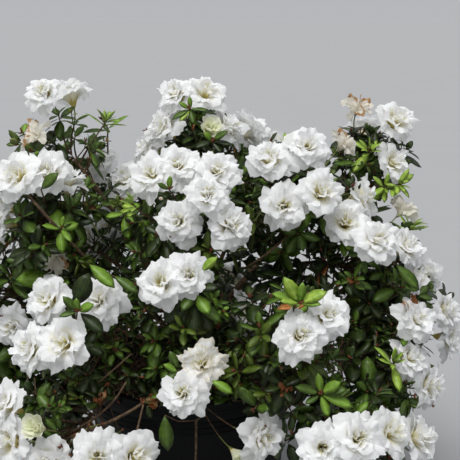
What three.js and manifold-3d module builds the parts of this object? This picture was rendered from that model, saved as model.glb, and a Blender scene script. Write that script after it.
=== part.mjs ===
// A white double-flowered azalea in its black nursery pot.
// Millimetres, +Z up. The origin is the middle of the pot's flat underside, and the front of the
// plant looks along -Y. A short trunk with a root flare rises from the potting mix and forks into
// main stems, which carry side boughs. Each limb ends at a spray: twigs that branch from one stem,
// with leaves in whorls and ruffled flowers at their tips.

import * as THREE from "three";
import { mergeVertices } from "three/addons/utils/BufferGeometryUtils.js";
import Module from "manifold-3d";

const wasm = await Module();
wasm.setup();

const CLEARANCE = 0.3; // between two pieces that meet
const FLAT = 0.01; // corners that stand out less than this are left out
const UP = new THREE.Vector3(0, 0, 1);

const pot = {
  height: 236,
  rimRadius: 141,
  rimDepth: 16, // height of the turned-out rim band
  rimEdge: 2,
  topRadius: 134,
  stepRadius: 129, // the wall is narrower below the stacking step
  stepHeight: 186,
  stepSlope: 6,
  footRadius: 112,
  footEdge: 4,
  wall: 2.5,
  floor: 3,
  segments: 24,
  drainHoles: 6,
  drainRadius: 9,
  drainSides: 6,
  drainRise: 3, // the holes cut the corner between wall and floor this far up
};

const mix = {
  edgeHeight: 208, // where the potting mix meets the pot
  topHeight: 214, // flat middle that the trunk stands on
  flatRadius: 30,
};

const trunk = {
  top: 258,
  lean: new THREE.Vector3(3, -2, 0), // how far the top leans from the foot
  footRadius: 14,
  topRadius: 12,
  flareReach: 9, // how far the root flare's lobes stand out at the foot
  flareHeight: 8, // the flare dies away over this height
  flareLobes: 5,
  lobeDepth: 0.4, // the share of the flare that is lost between two lobes
  head: 0.7, // the rounded head is this much narrower
  sides: 15,
  steps: 5,
};

const limb = {
  sides: 5,
  steps: 3,
  mainRadius: 5.6,
  sideRadius: 4.0,
  tipRadius: 2.9,
  bulge: 0.5, // how far along its first heading a limb goes before it bends
  rise: 0.22, // a main stem's first heading is turned up by this share
  follow: 0.35, // a side bough's first heading follows its parent's by this share
  endShort: 0.72, // a limb ends this share of the spray's reach short of its heart
  upperStart: 256, // main stems leave the trunk at two heights
  lowerStart: 243,
};

const twig = {
  stemTip: 2.3,
  stemSides: 4,
  base: 1.3,
  tip: 1.1,
  firstFork: 0.1, // twigs leave the stem in order, those that point back along it first
  lastFork: 0.9,
  forkSpread: 0.08, // as a share of the stem's length
  shortest: 0.66, // leafy twigs end between these shares of the spray's reach
  longest: 0.9,
  headings: 8, // leafy twigs that are tried for, evenly all round a spray
  fromFlower: 36, // degrees that a leafy twig keeps from a flower's heading
  fromLimb: 58, // and from the way that the limb comes in
};

const leaf = {
  length: 62, // larger than life, because each stands for a few
  width: 34,
  thickness: 1.8,
  belly: 0.12, // the widest place lies this share of half the length past the middle
  // Angles are in degrees from the twig's heading, and feet at shares of the twig's length.
  whorl: { angle: 62, feet: [0.96, 0.91, 0.86, 0.5] }, // round the tip of a leafy twig
  collar: { angle: 84, feet: [0.78, 0.73, 0.68] }, // under a flower
  lowAngle: 70, // for a leaf lower down than the first three
  shrink: 0.05, // each leaf is this much smaller than the one above it
  sunk: 0.6, // the leaf's foot lies this far past the twig's middle
  clearOut: 4, // moved out this far, a leaf must be clear of the rest of its spray
};

const bloom = {
  radius: 31,
  notch: 0.84, // the ruffled rim comes in to this share between its lobes
  lobes: 5,
  back: 21, // depth of the funnel behind the rim
  rimLift: 4,
  crestRadius: 16,
  crest: 12,
  throat: 6,
  lift: 0.3, // how far it turns up from its twig's heading
  outward: 0.4, // and out from the middle of the plant
  jointDepth: 10, // the twig ends this far behind the plane of the rim
  jointOut: 7.5, // and this far from the flower's axis, inside one face of the funnel
};

// How large a flower is in each of its ages.
const ages = { fresh: 1, opening: 0.74, fading: 0.9, spent: 0.7 };

const skirt = 150; // no leafy twig or leaf hangs lower than this
const front = { halfWidth: 66, skirt: 226 }; // the crown is open before the middle of the pot

// Each spray: the azimuth, distance out and height of its heart, the reach of its twigs, the limb
// it grows from, and its flowers, each as [azimuth, elevation, share of the reach] from the heart.
// A main stem has a start of "upper" or "lower", and a side bough forks at a share of its parent.
// An airy spray has a fill below 1, the share of the leafy twigs that it tries for.
const sprays = {
  top: { azimuth: 84, out: 50, up: 508, reach: 80, parent: "trunk", fork: "upper", fill: 0.7,
    fresh: [[-120, 63, 1.09], [-60, 67, 1.08], [-133, 34, 0.82], [-37, 32, 0.85], [16, 19, 1.0],
      [-155, 8, 0.78], [95, 30, 1]],
    opening: [[-73, 28, 1.03]] },
  left_top: { azimuth: -174, out: 151, up: 522, reach: 70, parent: "trunk", fork: "upper", fill: 0.7,
    fresh: [[-130, 66, 1.1], [89, 62, 1.08], [150, -20, 1]],
    spent: [[-134, 25, 0.75]] },
  back_right_upper: { azimuth: 22, out: 253, up: 488, reach: 70,
    parent: "trunk", fork: "upper", fill: 0.8,
    fresh: [[-43, 50, 1.14], [-60, 7, 0.91], [80, 30, 1]],
    spent: [[-117, 70, 1.17]] },
  back_top: { azimuth: 62, out: 181, up: 440, reach: 85, parent: "trunk", fork: "upper",
    fresh: [[-96, 80, 1], [60, 40, 1], [110, 0, 1], [20, 5, 1], [75, -35, 1]] },
  front_left: { azimuth: -128, out: 160, up: 300, reach: 85, parent: "trunk", fork: "lower",
    fresh: [[-107, 22, 1.2], [-133, 14, 1.2], [-154, 47, 1.08], [-82, 58, 1]] },
  front_right: { azimuth: -59, out: 205, up: 315, reach: 84, parent: "trunk", fork: "lower",
    fresh: [[-76, 28, 1.12], [-52, 37, 1.2]] },
  back_right: { azimuth: 12, out: 282, up: 300, reach: 84, parent: "trunk", fork: "lower", fill: 0.8,
    fresh: [[-44, 4, 1], [-38, -22, 1.1], [40, 20, 0.9], [75, -5, 1]] },
  back_left: { azimuth: 140, out: 215, up: 345, reach: 86, parent: "trunk", fork: "lower",
    fresh: [[120, 35, 1], [160, 0, 1], [170, 50, 1], [105, -15, 1]] },
  centre_upper: { azimuth: -87, out: 78, up: 430, reach: 84, parent: "top", fork: 0.5, fill: 0.8,
    fresh: [[-142, 55, 1.07], [-117, 73, 1.03], [-43, 59, 1.08], [-73, 36, 1.18], [-56, 15, 1.08],
      [-97, 22, 0.81]] },
  right_upper: { azimuth: -10, out: 142, up: 452, reach: 84,
    parent: "back_right_upper", fork: 0.5, fill: 0.8,
    fresh: [[-126, 44, 1.12], [-83, 60, 1.09], [-77, 20, 1.1], [-107, 10, 1], [-11, 9, 0.93]],
    spent: [[15, 53, 1.15]] },
  left_upper: { azimuth: -156, out: 181, up: 436, reach: 80, parent: "left_top", fork: 0.2, fill: 0.8,
    fresh: [[-118, 53, 1.09], [-76, 62, 1.01], [-172, 8, 0.7], [37, 64, 0.7], [150, 15, 1]],
    spent: [[-70, -45, 0.62]] },
  back_left_upper: { azimuth: 138, out: 127, up: 425, reach: 80,
    parent: "left_top", fork: 0.35, fill: 0.8,
    fresh: [[-127, 58, 1.03], [-78, 41, 0.94], [-98, -6, 0.9], [-122, -20, 1.02], [135, 25, 1]] },
  right: { azimuth: -8, out: 217, up: 375, reach: 80,
    parent: "back_right_upper", fork: 0.35, fill: 0.9,
    fresh: [[-113, 49, 1.13], [-82, 33, 1.14], [-29, 27, 0.86], [-15, -6, 0.88]],
    spent: [[26, 45, 1.2]] },
  front_centre: { azimuth: -92, out: 125, up: 335, reach: 84, parent: "trunk", fork: "upper",
    fresh: [[-104, 42, 1.14], [-79, 47, 1.18], [12, 3, 0.89]] },
  left: { azimuth: -178, out: 225, up: 335, reach: 82, parent: "front_left", fork: 0.4,
    fresh: [[-81, -25, 0.8], [-170, 10, 1], [140, 40, 1], [-150, -30, 0.9]] },
  right_low: { azimuth: -18, out: 240, up: 262, reach: 80, parent: "front_right", fork: 0.3,
    fresh: [[-38, 49, 1.11], [-47, 20, 0.75], [-28, -12, 0.95]] },
  front_right_low: { azimuth: -49, out: 262, up: 215, reach: 80, parent: "front_right", fork: 0.5,
    fresh: [[-106, 20, 1.12], [-81, 26, 1.2], [-46, 25, 1.05], [-20, 12, 1.2]] },
  front_low: { azimuth: -85, out: 178, up: 250, reach: 78, parent: "front_centre", fork: 0.3,
    fresh: [[-100, 32, 1], [-33, -12, 1.14]],
    opening: [[-38, -37, 0.95]],
    fading: [[-79, 56, 1.04]] },
  front_left_low: { azimuth: -122, out: 225, up: 222, reach: 80, parent: "front_left", fork: 0.3,
    fresh: [[-160, 30, 1.12], [-144, 8, 1.05], [-110, -6, 0.8], [-67, 5, 1.02], [-42, 0, 1.2]],
    opening: [[-118, 26, 0.95]] },
  left_low: { azimuth: 168, out: 248, up: 240, reach: 78, parent: "back_left", fork: 0.35,
    fresh: [[-160, -5, 1], [130, 20, 1], [170, 35, 1]] },
  back_centre: { azimuth: 98, out: 215, up: 335, reach: 86, parent: "back_top", fork: 0.35,
    fresh: [[90, 25, 1], [60, -8, 1], [130, 10, 1], [55, 35, 1]],
    spent: [[110, 60, 0.9]] },
  back_left_low: { azimuth: 128, out: 262, up: 228, reach: 80, parent: "back_left", fork: 0.5,
    fresh: [[110, 15, 1], [150, -5, 1], [130, 45, 1]] },
  back_low: { azimuth: 82, out: 255, up: 222, reach: 80, parent: "back_centre", fork: 0.45,
    fresh: [[100, 5, 1], [60, 25, 1], [80, 42, 1]] },
  back_right_low: { azimuth: 44, out: 268, up: 232, reach: 82,
    parent: "back_right", fork: 0.45, fill: 0.8,
    fresh: [[40, 15, 1], [10, -10, 1], [80, 0, 1], [45, 50, 1]] },
};

const finishes = {
  pot: new THREE.MeshStandardMaterial({ color: 0x17181a, roughness: 0.55, metalness: 0 }),
  mix: new THREE.MeshStandardMaterial({ color: 0x2b2018, roughness: 1, metalness: 0 }),
  bark: new THREE.MeshStandardMaterial({ color: 0x4f3a2a, roughness: 0.9, metalness: 0 }),
  foliage: new THREE.MeshStandardMaterial({ color: 0x3d5a2b, roughness: 0.5, metalness: 0 }),
};

const radians = THREE.MathUtils.degToRad;
const lerp = THREE.MathUtils.lerp;

function polar(azimuth, elevation) {
  const level = Math.cos(radians(elevation));
  return new THREE.Vector3(
    level * Math.cos(radians(azimuth)),
    level * Math.sin(radians(azimuth)),
    Math.sin(radians(elevation)),
  );
}

// A stream of numbers from 0 to 1 that is the same each time.
function seeded(seed) {
  let state = seed >>> 0;
  return () => {
    state = (state + 0x6d2b79f5) >>> 0;
    let t = state;
    t = Math.imul(t ^ (t >>> 15), t | 1);
    t ^= t + Math.imul(t ^ (t >>> 7), t | 61);
    return ((t ^ (t >>> 14)) >>> 0) / 4294967296;
  };
}

// A ready-made shape with its seams closed. This comes before it is bent, while they still match.
function welded(geometry) {
  const bare = geometry.index ? geometry.toNonIndexed() : geometry;
  bare.deleteAttribute("normal");
  bare.deleteAttribute("uv");
  return mergeVertices(bare, 1e-4);
}

function solidOf(geometry) {
  return new wasm.Manifold(
    new wasm.Mesh({
      numProp: 3,
      vertProperties: geometry.attributes.position.array,
      triVerts: new Uint32Array(geometry.index.array),
    }),
  );
}

// The outer skin of the largest piece: loose scraps go, and sealed hollows are filled.
function mainBody(solid) {
  return solid.decompose().sort((a, b) => b.volume() - a.volume())[0];
}

function node(name, solid, finish) {
  const made = solid.getMesh();
  const geometry = new THREE.BufferGeometry();
  geometry.setAttribute("position", new THREE.BufferAttribute(made.vertProperties, 3));
  geometry.setIndex(new THREE.BufferAttribute(made.triVerts, 1));
  geometry.computeVertexNormals();
  const mesh = new THREE.Mesh(geometry, finish);
  mesh.name = name;
  return mesh;
}

// An upright rod about the Z axis, centred on the origin.
function rod(radius, length, sides) {
  return welded(new THREE.CylinderGeometry(radius, radius, length, sides)).rotateX(Math.PI / 2);
}

// A closed body turned about the Z axis from an outline of [radius, height] places.
function turned(outline, segments) {
  const points = outline.map(([radius, height]) => new THREE.Vector2(radius, height));
  return welded(new THREE.LatheGeometry(points, segments)).rotateX(Math.PI / 2);
}

// A round bar that follows a curve and tapers from its start to its end.
function taperedBar(curve, startRadius, endRadius, sides, steps) {
  const geometry = welded(new THREE.CylinderGeometry(1, 1, 1, sides, steps));
  const frames = curve.computeFrenetFrames(steps);
  const places = geometry.attributes.position;
  for (let i = 0; i < places.count; i += 1) {
    const step = Math.round((places.getY(i) + 0.5) * steps);
    const along = step / steps;
    const radius = lerp(startRadius, endRadius, along);
    const place = curve
      .getPointAt(along)
      .addScaledVector(frames.normals[step], places.getX(i) * radius)
      .addScaledVector(frames.binormals[step], -places.getZ(i) * radius);
    places.setXYZ(i, place.x, place.y, place.z);
  }
  return geometry;
}

function potSolid() {
  const p = pot;
  const inner = (radius) => radius - p.wall;
  const underRim = p.height - p.rimDepth;
  const outline = [
    [0, 0],
    [p.footRadius - p.footEdge, 0],
    [p.footRadius + 1, p.footEdge],
    [p.stepRadius, p.stepHeight - p.stepSlope],
    [p.topRadius - 1, p.stepHeight],
    [p.topRadius, underRim],
    [p.rimRadius - 1, underRim],
    [p.rimRadius, p.height - p.rimEdge],
    [p.rimRadius - p.rimEdge, p.height],
    [inner(p.topRadius), p.height],
    [inner(p.topRadius - 1), p.stepHeight],
    [inner(p.stepRadius), p.stepHeight - p.stepSlope],
    [inner(p.footRadius), p.floor],
    [0, p.floor],
  ];
  let solid = solidOf(turned(outline, p.segments));
  for (let i = 0; i < p.drainHoles; i += 1) {
    const spot = polar((i + 0.5) * (360 / p.drainHoles), 0).multiplyScalar(p.footRadius);
    const hole = rod(p.drainRadius, 2 * p.drainRadius, p.drainSides)
      .translate(spot.x, spot.y, p.drainRise);
    solid = solid.subtract(solidOf(hole));
  }
  return solid;
}

function mixSolid() {
  const gap = CLEARANCE;
  const wallRadius = (height) => {
    const share = (height - pot.floor) / (pot.stepHeight - pot.stepSlope - pot.floor);
    return lerp(pot.footRadius, pot.stepRadius, share) - pot.wall - gap;
  };
  const shoulder = pot.stepHeight - pot.stepSlope;
  const outline = [
    [0, pot.floor + gap],
    [wallRadius(pot.floor) - gap, pot.floor + gap],
    [wallRadius(shoulder) - gap, shoulder],
    [pot.topRadius - 1 - pot.wall - 2 * gap, pot.stepHeight + gap],
    [pot.topRadius - 1 - pot.wall - 2 * gap, mix.edgeHeight],
    [mix.flatRadius, mix.topHeight],
    [0, mix.topHeight],
  ];
  return solidOf(turned(outline, pot.segments));
}

// The trunk from its flat foot on the mix to its rounded head, grown outwards by a margin.
function trunkSolid(margin) {
  const foot = mix.topHeight + CLEARANCE;
  const geometry = welded(new THREE.CylinderGeometry(1, 1, 1, trunk.sides, trunk.steps));
  const places = geometry.attributes.position;
  for (let i = 0; i < places.count; i += 1) {
    const along = places.getY(i) + 0.5;
    const height = lerp(foot, trunk.top + margin, along);
    const turn = Math.atan2(places.getX(i), places.getZ(i));
    const edge = Math.hypot(places.getX(i), places.getZ(i));
    const flare = Math.exp(-(height - foot) / trunk.flareHeight);
    const lobe = 1 - trunk.lobeDepth * (1 - Math.cos(trunk.flareLobes * turn));
    const dome = along > 0.99 ? trunk.head : 1;
    const radius =
      edge * (margin + dome * lerp(trunk.footRadius, trunk.topRadius, along)
        + trunk.flareReach * flare * lobe);
    places.setXYZ(
      i,
      trunk.lean.x * along + radius * Math.sin(turn),
      trunk.lean.y * along - radius * Math.cos(turn),
      height,
    );
  }
  return solidOf(geometry);
}

// Where each spray's heart is, how its limb runs, and how thick the limb is.
function layOutLimbs() {
  const laid = {};
  for (const [name, spray] of Object.entries(sprays)) {
    const heart = polar(spray.azimuth, 0).multiplyScalar(spray.out).setZ(spray.up);
    const parent = laid[spray.parent];
    const start = new THREE.Vector3();
    const heading = new THREE.Vector3();
    if (parent) {
      parent.curve.getPoint(spray.fork, start);
      heading.subVectors(heart, start).normalize();
      heading.addScaledVector(parent.curve.getTangent(spray.fork), limb.follow).normalize();
    } else {
      const along = (limb[spray.fork + "Start"] - mix.topHeight) / (trunk.top - mix.topHeight);
      start.copy(trunk.lean).multiplyScalar(along).setZ(limb[spray.fork + "Start"]);
      heading.subVectors(heart, start).normalize().addScaledVector(UP, limb.rise).normalize();
    }
    const bend = start.clone().addScaledVector(heading, limb.bulge * start.distanceTo(heart));
    const inward = heart.clone().sub(bend).normalize();
    const end = heart.clone().addScaledVector(inward, -limb.endShort * spray.reach);
    laid[name] = {
      heart,
      end,
      inward,
      parent: spray.parent,
      radius: parent ? limb.sideRadius : limb.mainRadius,
      curve: new THREE.QuadraticBezierCurve3(start, bend, end),
    };
  }
  return laid;
}

function limbSolid(laid, margin) {
  const { curve, radius } = laid;
  return solidOf(
    taperedBar(curve, radius + margin, limb.tipRadius + margin, limb.sides, limb.steps),
  );
}

// A leaf of six faces: its foot, its tip, two sides and a ridge, from a sphere of three sectors.
function leafGeometry(foot, heading, facing, size) {
  const along = heading.clone().normalize();
  const across = new THREE.Vector3().crossVectors(along, facing).normalize();
  const over = new THREE.Vector3().crossVectors(across, along);
  const geometry = welded(new THREE.SphereGeometry(1, 3, 2));
  const places = geometry.attributes.position;
  const half = (leaf.length * size) / 2;
  const side = Math.sin(Math.PI / 3); // the sphere's middle is a triangle, 1.5 high and 2 sides wide
  for (let i = 0; i < places.count; i += 1) {
    const end = Math.abs(places.getY(i)) > 0.5;
    const place = foot
      .clone()
      .addScaledVector(along, half - leaf.sunk + half * (end ? places.getY(i) : leaf.belly))
      .addScaledVector(across, (places.getZ(i) / side) * (leaf.width / 2) * size)
      .addScaledVector(over, -places.getX(i) * (leaf.thickness / 1.5));
    places.setXYZ(i, place.x, place.y, place.z);
  }
  return geometry;
}

// The place and aim of a flower that is made round the Z axis, with its rim at zero height.
function flowerPlace(middle, facing, turn, size) {
  const aim = new THREE.Quaternion().setFromUnitVectors(UP, facing);
  const spin = new THREE.Quaternion().setFromAxisAngle(UP, turn);
  return new THREE.Matrix4().compose(middle, aim.multiply(spin), new THREE.Vector3().setScalar(size));
}

// A ruffled double flower: a funnel back, a lobed rim, a crest of inner petals and a throat.
function flowerGeometry(place) {
  const outline = [
    [0, -bloom.back],
    [bloom.radius, 0],
    [bloom.crestRadius, bloom.crest],
    [0, bloom.throat],
  ];
  const geometry = turned(outline, 2 * bloom.lobes);
  const places = geometry.attributes.position;
  for (let i = 0; i < places.count; i += 1) {
    const radius = Math.hypot(places.getX(i), places.getY(i));
    const turn = Math.atan2(places.getY(i), places.getX(i));
    const between = Math.round((turn * bloom.lobes) / Math.PI - 0.5) % 2 !== 0;
    if (radius > bloom.crestRadius + 1 && between) {
      places.setX(i, places.getX(i) * bloom.notch);
      places.setY(i, places.getY(i) * bloom.notch);
      places.setZ(i, places.getZ(i) + bloom.rimLift);
    }
  }
  return geometry.applyMatrix4(place);
}

// Headings spread evenly over a sphere, turned about by a given share of a round.
function evenHeadings(count, turn) {
  const golden = Math.PI * (3 - Math.sqrt(5));
  return Array.from({ length: count }, (_, i) => {
    const height = 1 - (2 * i + 1) / count;
    const level = Math.sqrt(1 - height * height);
    const angle = i * golden + turn * 2 * Math.PI;
    return new THREE.Vector3(level * Math.cos(angle), level * Math.sin(angle), height);
  });
}

function stemOf(laid) {
  const start = laid.end.clone().addScaledVector(laid.inward, CLEARANCE);
  return new THREE.LineCurve3(start, laid.heart);
}

// The twigs of a spray, as lines: those with a flower first, then the leafy ones.
function layOutTwigs(name, index, laid) {
  const spray = sprays[name];
  const draw = seeded(1000 + 77 * index);
  const stem = stemOf(laid);
  const start = (heading) => {
    const forward = (1 + heading.dot(laid.inward)) / 2;
    return stem.getPoint(lerp(twig.firstFork, twig.lastFork, forward) + twig.forkSpread * draw());
  };
  const end = (heading, share) => laid.heart.clone().addScaledVector(heading, share * spray.reach);
  const twigs = [];
  for (const [age, size] of Object.entries(ages)) {
    for (const [azimuth, elevation, share] of spray[age] ?? []) {
      const heading = polar(azimuth, elevation);
      const middle = end(heading, share);
      const outward = middle.clone().setZ(0).normalize();
      const facing = heading.clone().addScaledVector(UP, bloom.lift)
        .addScaledVector(outward, bloom.outward).normalize();
      const place = flowerPlace(middle, facing, draw() * 2 * Math.PI, size);
      const tip = new THREE.Vector3(bloom.jointOut, 0, -bloom.jointDepth).applyMatrix4(place);
      twigs.push({ heading, size, place, line: new THREE.LineCurve3(start(heading), tip) });
    }
  }
  const flowers = [...twigs];
  const fromFlower = Math.cos(radians(twig.fromFlower));
  const fromLimb = Math.cos(radians(twig.fromLimb));
  const count = Math.round(twig.headings * (spray.fill ?? 1));
  for (const heading of evenHeadings(count, draw())) {
    const tip = end(heading, lerp(twig.shortest, twig.longest, draw()));
    const line = new THREE.LineCurve3(start(heading), tip);
    const nearFlower = flowers.some((other) => other.heading.dot(heading) > fromFlower);
    const nearLimb = -heading.dot(laid.inward) > fromLimb;
    if (!nearFlower && !nearLimb) twigs.push({ heading, size: 0, line });
  }
  return twigs;
}

function stickGeometry(line, margin) {
  return taperedBar(line, twig.base + margin, twig.tip + margin, 3, 1);
}

// A twig's leaves, one on each of its three faces in turn: a whorl near the tip, then a lower one.
function leavesOf(grown) {
  const { line } = grown;
  const { tangents, normals, binormals } = line.computeFrenetFrames(1);
  const whorl = grown.size ? leaf.collar : leaf.whorl;
  return whorl.feet.map((share, i) => {
    const turn = ((2 * i + 1) * Math.PI) / 3;
    const slant = radians(i < 3 ? whorl.angle : leaf.lowAngle);
    const heading = tangents[0].clone().multiplyScalar(Math.cos(slant))
      .addScaledVector(normals[0], Math.sin(slant) * Math.sin(turn))
      .addScaledVector(binormals[0], -Math.sin(slant) * Math.cos(turn));
    const foot = line.getPoint(share);
    const clearFoot = foot.clone().addScaledVector(heading, leaf.clearOut);
    const size = 1 - leaf.shrink * i;
    return {
      whole: leafGeometry(foot, heading, tangents[0], size),
      blade: leafGeometry(clearFoot, heading, tangents[0], size),
    };
  });
}

// The stem of a spray and its twigs that carry flowers, with the flowers, grown by a margin.
function floweringSolid(laid, twigs, margin) {
  const stem = taperedBar(
    stemOf(laid), limb.tipRadius + margin, twig.stemTip + margin, twig.stemSides, 1);
  const scale = new THREE.Vector3().setScalar(1 + margin / bloom.crest);
  const pieces = twigs.filter((one) => one.size).flatMap(({ line, place }) => [
    solidOf(stickGeometry(line, margin)),
    solidOf(flowerGeometry(place.clone().scale(scale))),
  ]);
  return wasm.Manifold.union([solidOf(stem), ...pieces]);
}

// One spray: its stem and flowers, and each leafy twig and leaf that has room. They are skipped
// where they leave the spray's space, touch what is kept out or run through another leaf or flower.
function spraySolid(laid, twigs, inSpace, keepOut) {
  const clear = (geometry, of) => solidOf(geometry).intersect(of).isEmpty();
  let grown = floweringSolid(laid, twigs, 0);
  const bearing = twigs.filter((one) => one.size);
  for (const one of twigs.filter((other) => !other.size)) {
    const stick = stickGeometry(one.line, 0);
    if (!inSpace(stick) || !clear(stick, keepOut)) continue;
    grown = grown.add(solidOf(stick));
    bearing.push(one);
  }
  for (const { whole, blade } of bearing.flatMap(leavesOf)) {
    if (!inSpace(whole) || !clear(whole, keepOut) || !clear(blade, grown)) continue;
    grown = grown.add(solidOf(whole));
  }
  return mainBody(grown.simplify(FLAT));
}

// A spray's space: nearer to its own heart than to any other's, and above the skirt.
function spaceOf(name, laid) {
  const { heart } = laid[name];
  const walls = Object.keys(laid).filter((other) => other !== name).map((other) => {
    const away = laid[other].heart.clone().sub(heart);
    const limit = away.length() / 2 - CLEARANCE;
    return { away: away.normalize(), limit };
  });
  const place = new THREE.Vector3();
  return (geometry) => {
    const places = geometry.attributes.position;
    for (let i = 0; i < places.count; i += 1) {
      place.fromBufferAttribute(places, i);
      const inFront = place.y < 0 && Math.abs(place.x) < front.halfWidth;
      if (place.z < (inFront ? front.skirt : skirt)) return false;
      place.sub(heart);
      if (walls.some(({ away, limit }) => place.dot(away) > limit)) return false;
    }
    return true;
  };
}

function azalea() {
  const plant = new THREE.Group();
  plant.add(node("pot", potSolid(), finishes.pot));
  plant.add(node("potting_mix", mixSolid(), finishes.mix));
  plant.add(node("trunk", trunkSolid(0), finishes.bark));
  const laid = layOutLimbs();
  const names = Object.keys(laid);
  const kept = [trunkSolid(CLEARANCE)];
  for (const name of names) {
    const solid = limbSolid(laid[name], 0).subtract(wasm.Manifold.union(kept));
    plant.add(node("limb_" + name, mainBody(solid), finishes.bark));
    kept.push(limbSolid(laid[name], CLEARANCE));
  }
  const potRoom = rod(pot.rimRadius + CLEARANCE, pot.height, pot.segments)
    .translate(0, 0, pot.height / 2 + CLEARANCE);
  const bare = wasm.Manifold.union([...kept, solidOf(potRoom)]);
  const twigs = names.map((name, index) => layOutTwigs(name, index, laid[name]));
  const flowering = names.map((name, i) => floweringSolid(laid[name], twigs[i], CLEARANCE));
  names.forEach((name, index) => {
    const others = flowering.filter((_, i) => i !== index);
    const keepOut = wasm.Manifold.union([bare, ...others]);
    const solid = spraySolid(laid[name], twigs[index], spaceOf(name, laid), keepOut);
    plant.add(node("spray_" + name, solid, finishes.foliage));
  });
  return plant;
}

export default azalea();
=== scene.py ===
# A white double-flowered azalea in its black nursery pot, dressed for its picture.
# The plant is laid out in millimetres, and MM turns them to metres where a mesh is made. +Z is up,
# the origin is the middle of the pot's underside, and the front of the plant looks along -Y.

import math

import bpy
import numpy as np
from mathutils import Matrix, Quaternion, Vector


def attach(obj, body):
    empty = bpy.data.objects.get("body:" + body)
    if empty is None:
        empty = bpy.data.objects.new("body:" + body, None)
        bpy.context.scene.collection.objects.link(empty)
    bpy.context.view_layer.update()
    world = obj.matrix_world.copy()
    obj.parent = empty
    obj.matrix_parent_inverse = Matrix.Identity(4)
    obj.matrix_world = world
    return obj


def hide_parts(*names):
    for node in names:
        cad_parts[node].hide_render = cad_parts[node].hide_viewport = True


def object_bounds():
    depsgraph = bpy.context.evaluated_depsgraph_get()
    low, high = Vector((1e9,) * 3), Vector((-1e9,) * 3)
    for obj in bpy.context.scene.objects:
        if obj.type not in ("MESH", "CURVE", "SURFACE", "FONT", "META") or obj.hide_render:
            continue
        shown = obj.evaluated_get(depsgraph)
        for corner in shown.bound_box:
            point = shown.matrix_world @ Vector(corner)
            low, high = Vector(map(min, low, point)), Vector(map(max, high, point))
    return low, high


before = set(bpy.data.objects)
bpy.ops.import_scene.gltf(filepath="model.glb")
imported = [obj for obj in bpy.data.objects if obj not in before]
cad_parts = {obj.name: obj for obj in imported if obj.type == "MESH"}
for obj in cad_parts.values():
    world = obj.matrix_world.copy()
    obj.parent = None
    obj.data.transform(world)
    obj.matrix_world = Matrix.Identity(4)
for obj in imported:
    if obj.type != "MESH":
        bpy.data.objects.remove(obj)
cad_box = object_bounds()
bpy.ops.object.select_all(action="DESELECT")

MM = 0.001
UP = Vector((0, 0, 1))
TURN = 2 * math.pi
MOST_TRIANGLES = 200000  # no piece has more

# Driving sizes of the pot, in millimetres
POT = {
    "height": 236, "rim_radius": 141, "rim_depth": 16, "top_radius": 134,
    "step_radius": 129, "step_height": 186, "step_slope": 6, "foot_radius": 112, "wall": 2.5,
    "floor": 3, "hollow_radius": 60, "hollow_height": 4, "segments": 96,
    "drain_holes": 6, "drain_radius": 9, "drain_rise": 3, "drain_sides": 24,
    "rib_heights": (194, 201, 208), "rib_width": 3.2, "rib_depth": 0.6,
}
# The potting mix, how steeply it mounds up from its edge, its gap to the pot, and how far its
# crumbs stand up and settle. Then the flat chips of bark that lie on it.
MIX = {"edge_height": 208, "top_height": 214, "mound": 1.3, "gap": 0.8, "foot_height": 8,
       "rings": 36, "segments": 120, "crumb": 0.7, "settled": 0.6}
CHIPS = {"count": 360, "inner": 28, "outer": 118, "length": (3, 9), "width": (2, 4.5),
         "thickness": (0.8, 1.8), "unevenness": (0.7, 1.2), "lean": (-0.35, 0.35), "lift": 0.8}

# Driving sizes of the wood. Main stems leave the trunk at two heights.
TRUNK = {"top": 258, "lean": Vector((3, -2, 0)), "foot_radius": 14, "top_radius": 12, "sunk": 2,
         "flare_reach": 9, "flare_height": 8, "flare_lobes": 5, "lobe_depth": 0.3, "head": 0.7,
         "segments": 40}
LIMB = {"main_radius": 5.6, "side_radius": 4.0, "tip_radius": 2.9, "taper": 0.6, "bulge": 0.5,
        "rise": 0.22, "follow": 0.35, "end_short": 0.72, "upper": 256, "lower": 243, "steps": 14}
TWIG = {"stem_tip": 1.5, "base": 1.3, "tip": 0.8, "first_fork": 0.1, "last_fork": 0.9,
        "fork_spread": 0.08, "shortest": 0.5, "longest": 0.95, "headings": 31,
        "from_flower": 15, "from_limb": 50}
# How strongly an arching twig keeps to its headings at its start and at its end
ARCH = {"leaving": 0.4, "arriving": 0.35}

# A flower's sizes, how it leans up and outward, and how far those high on a spray's front lean to
# the front. Then how large it is in each of its ages.
BLOOM = {"radius": 31, "back": 21, "lift": 0.3, "outward": 0.4, "high": 45, "lean": 0.8}
AGES = {"fresh": 1, "opening": 0.74, "fading": 0.9, "spent": 0.7}

# A leaf: its sizes, how far past its middle it is widest and how full its sides are, how high its
# edges, its midrib and its keel stand at its middle, how wide the midrib is as a share of the leaf,
# and how far its tip curls down
LEAF = {"length": 31, "width": 14.5, "sides": 5, "belly": 1.18, "fullness": 0.75, "edge": 1.2,
        "rib": 0.3, "keel": -0.25, "rib_share": 0.035, "curl": 5.5}
# The room that leaves leave: to the sides of the box, to the pot's rim, behind a flower, and
# before it, which is deeper at its throat than at its edge
ROOM = {"box": 2, "over_pot": 2, "round_pot": 3, "behind": 1, "throat": 26, "throat_reach": 1.1,
        "before": 5}
SKIRT = 150  # no leafy twig or leaf hangs lower than this
# The crown is open before the middle of the pot, the more so further out
FRONT = {"half_width": 66, "skirt": 232, "slope": 0.42}
# Low on its left front is an opening, a box, that has twigs but no leaves
OPENING = ((-134, -260, 210), (-62, -95, 256))

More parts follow.
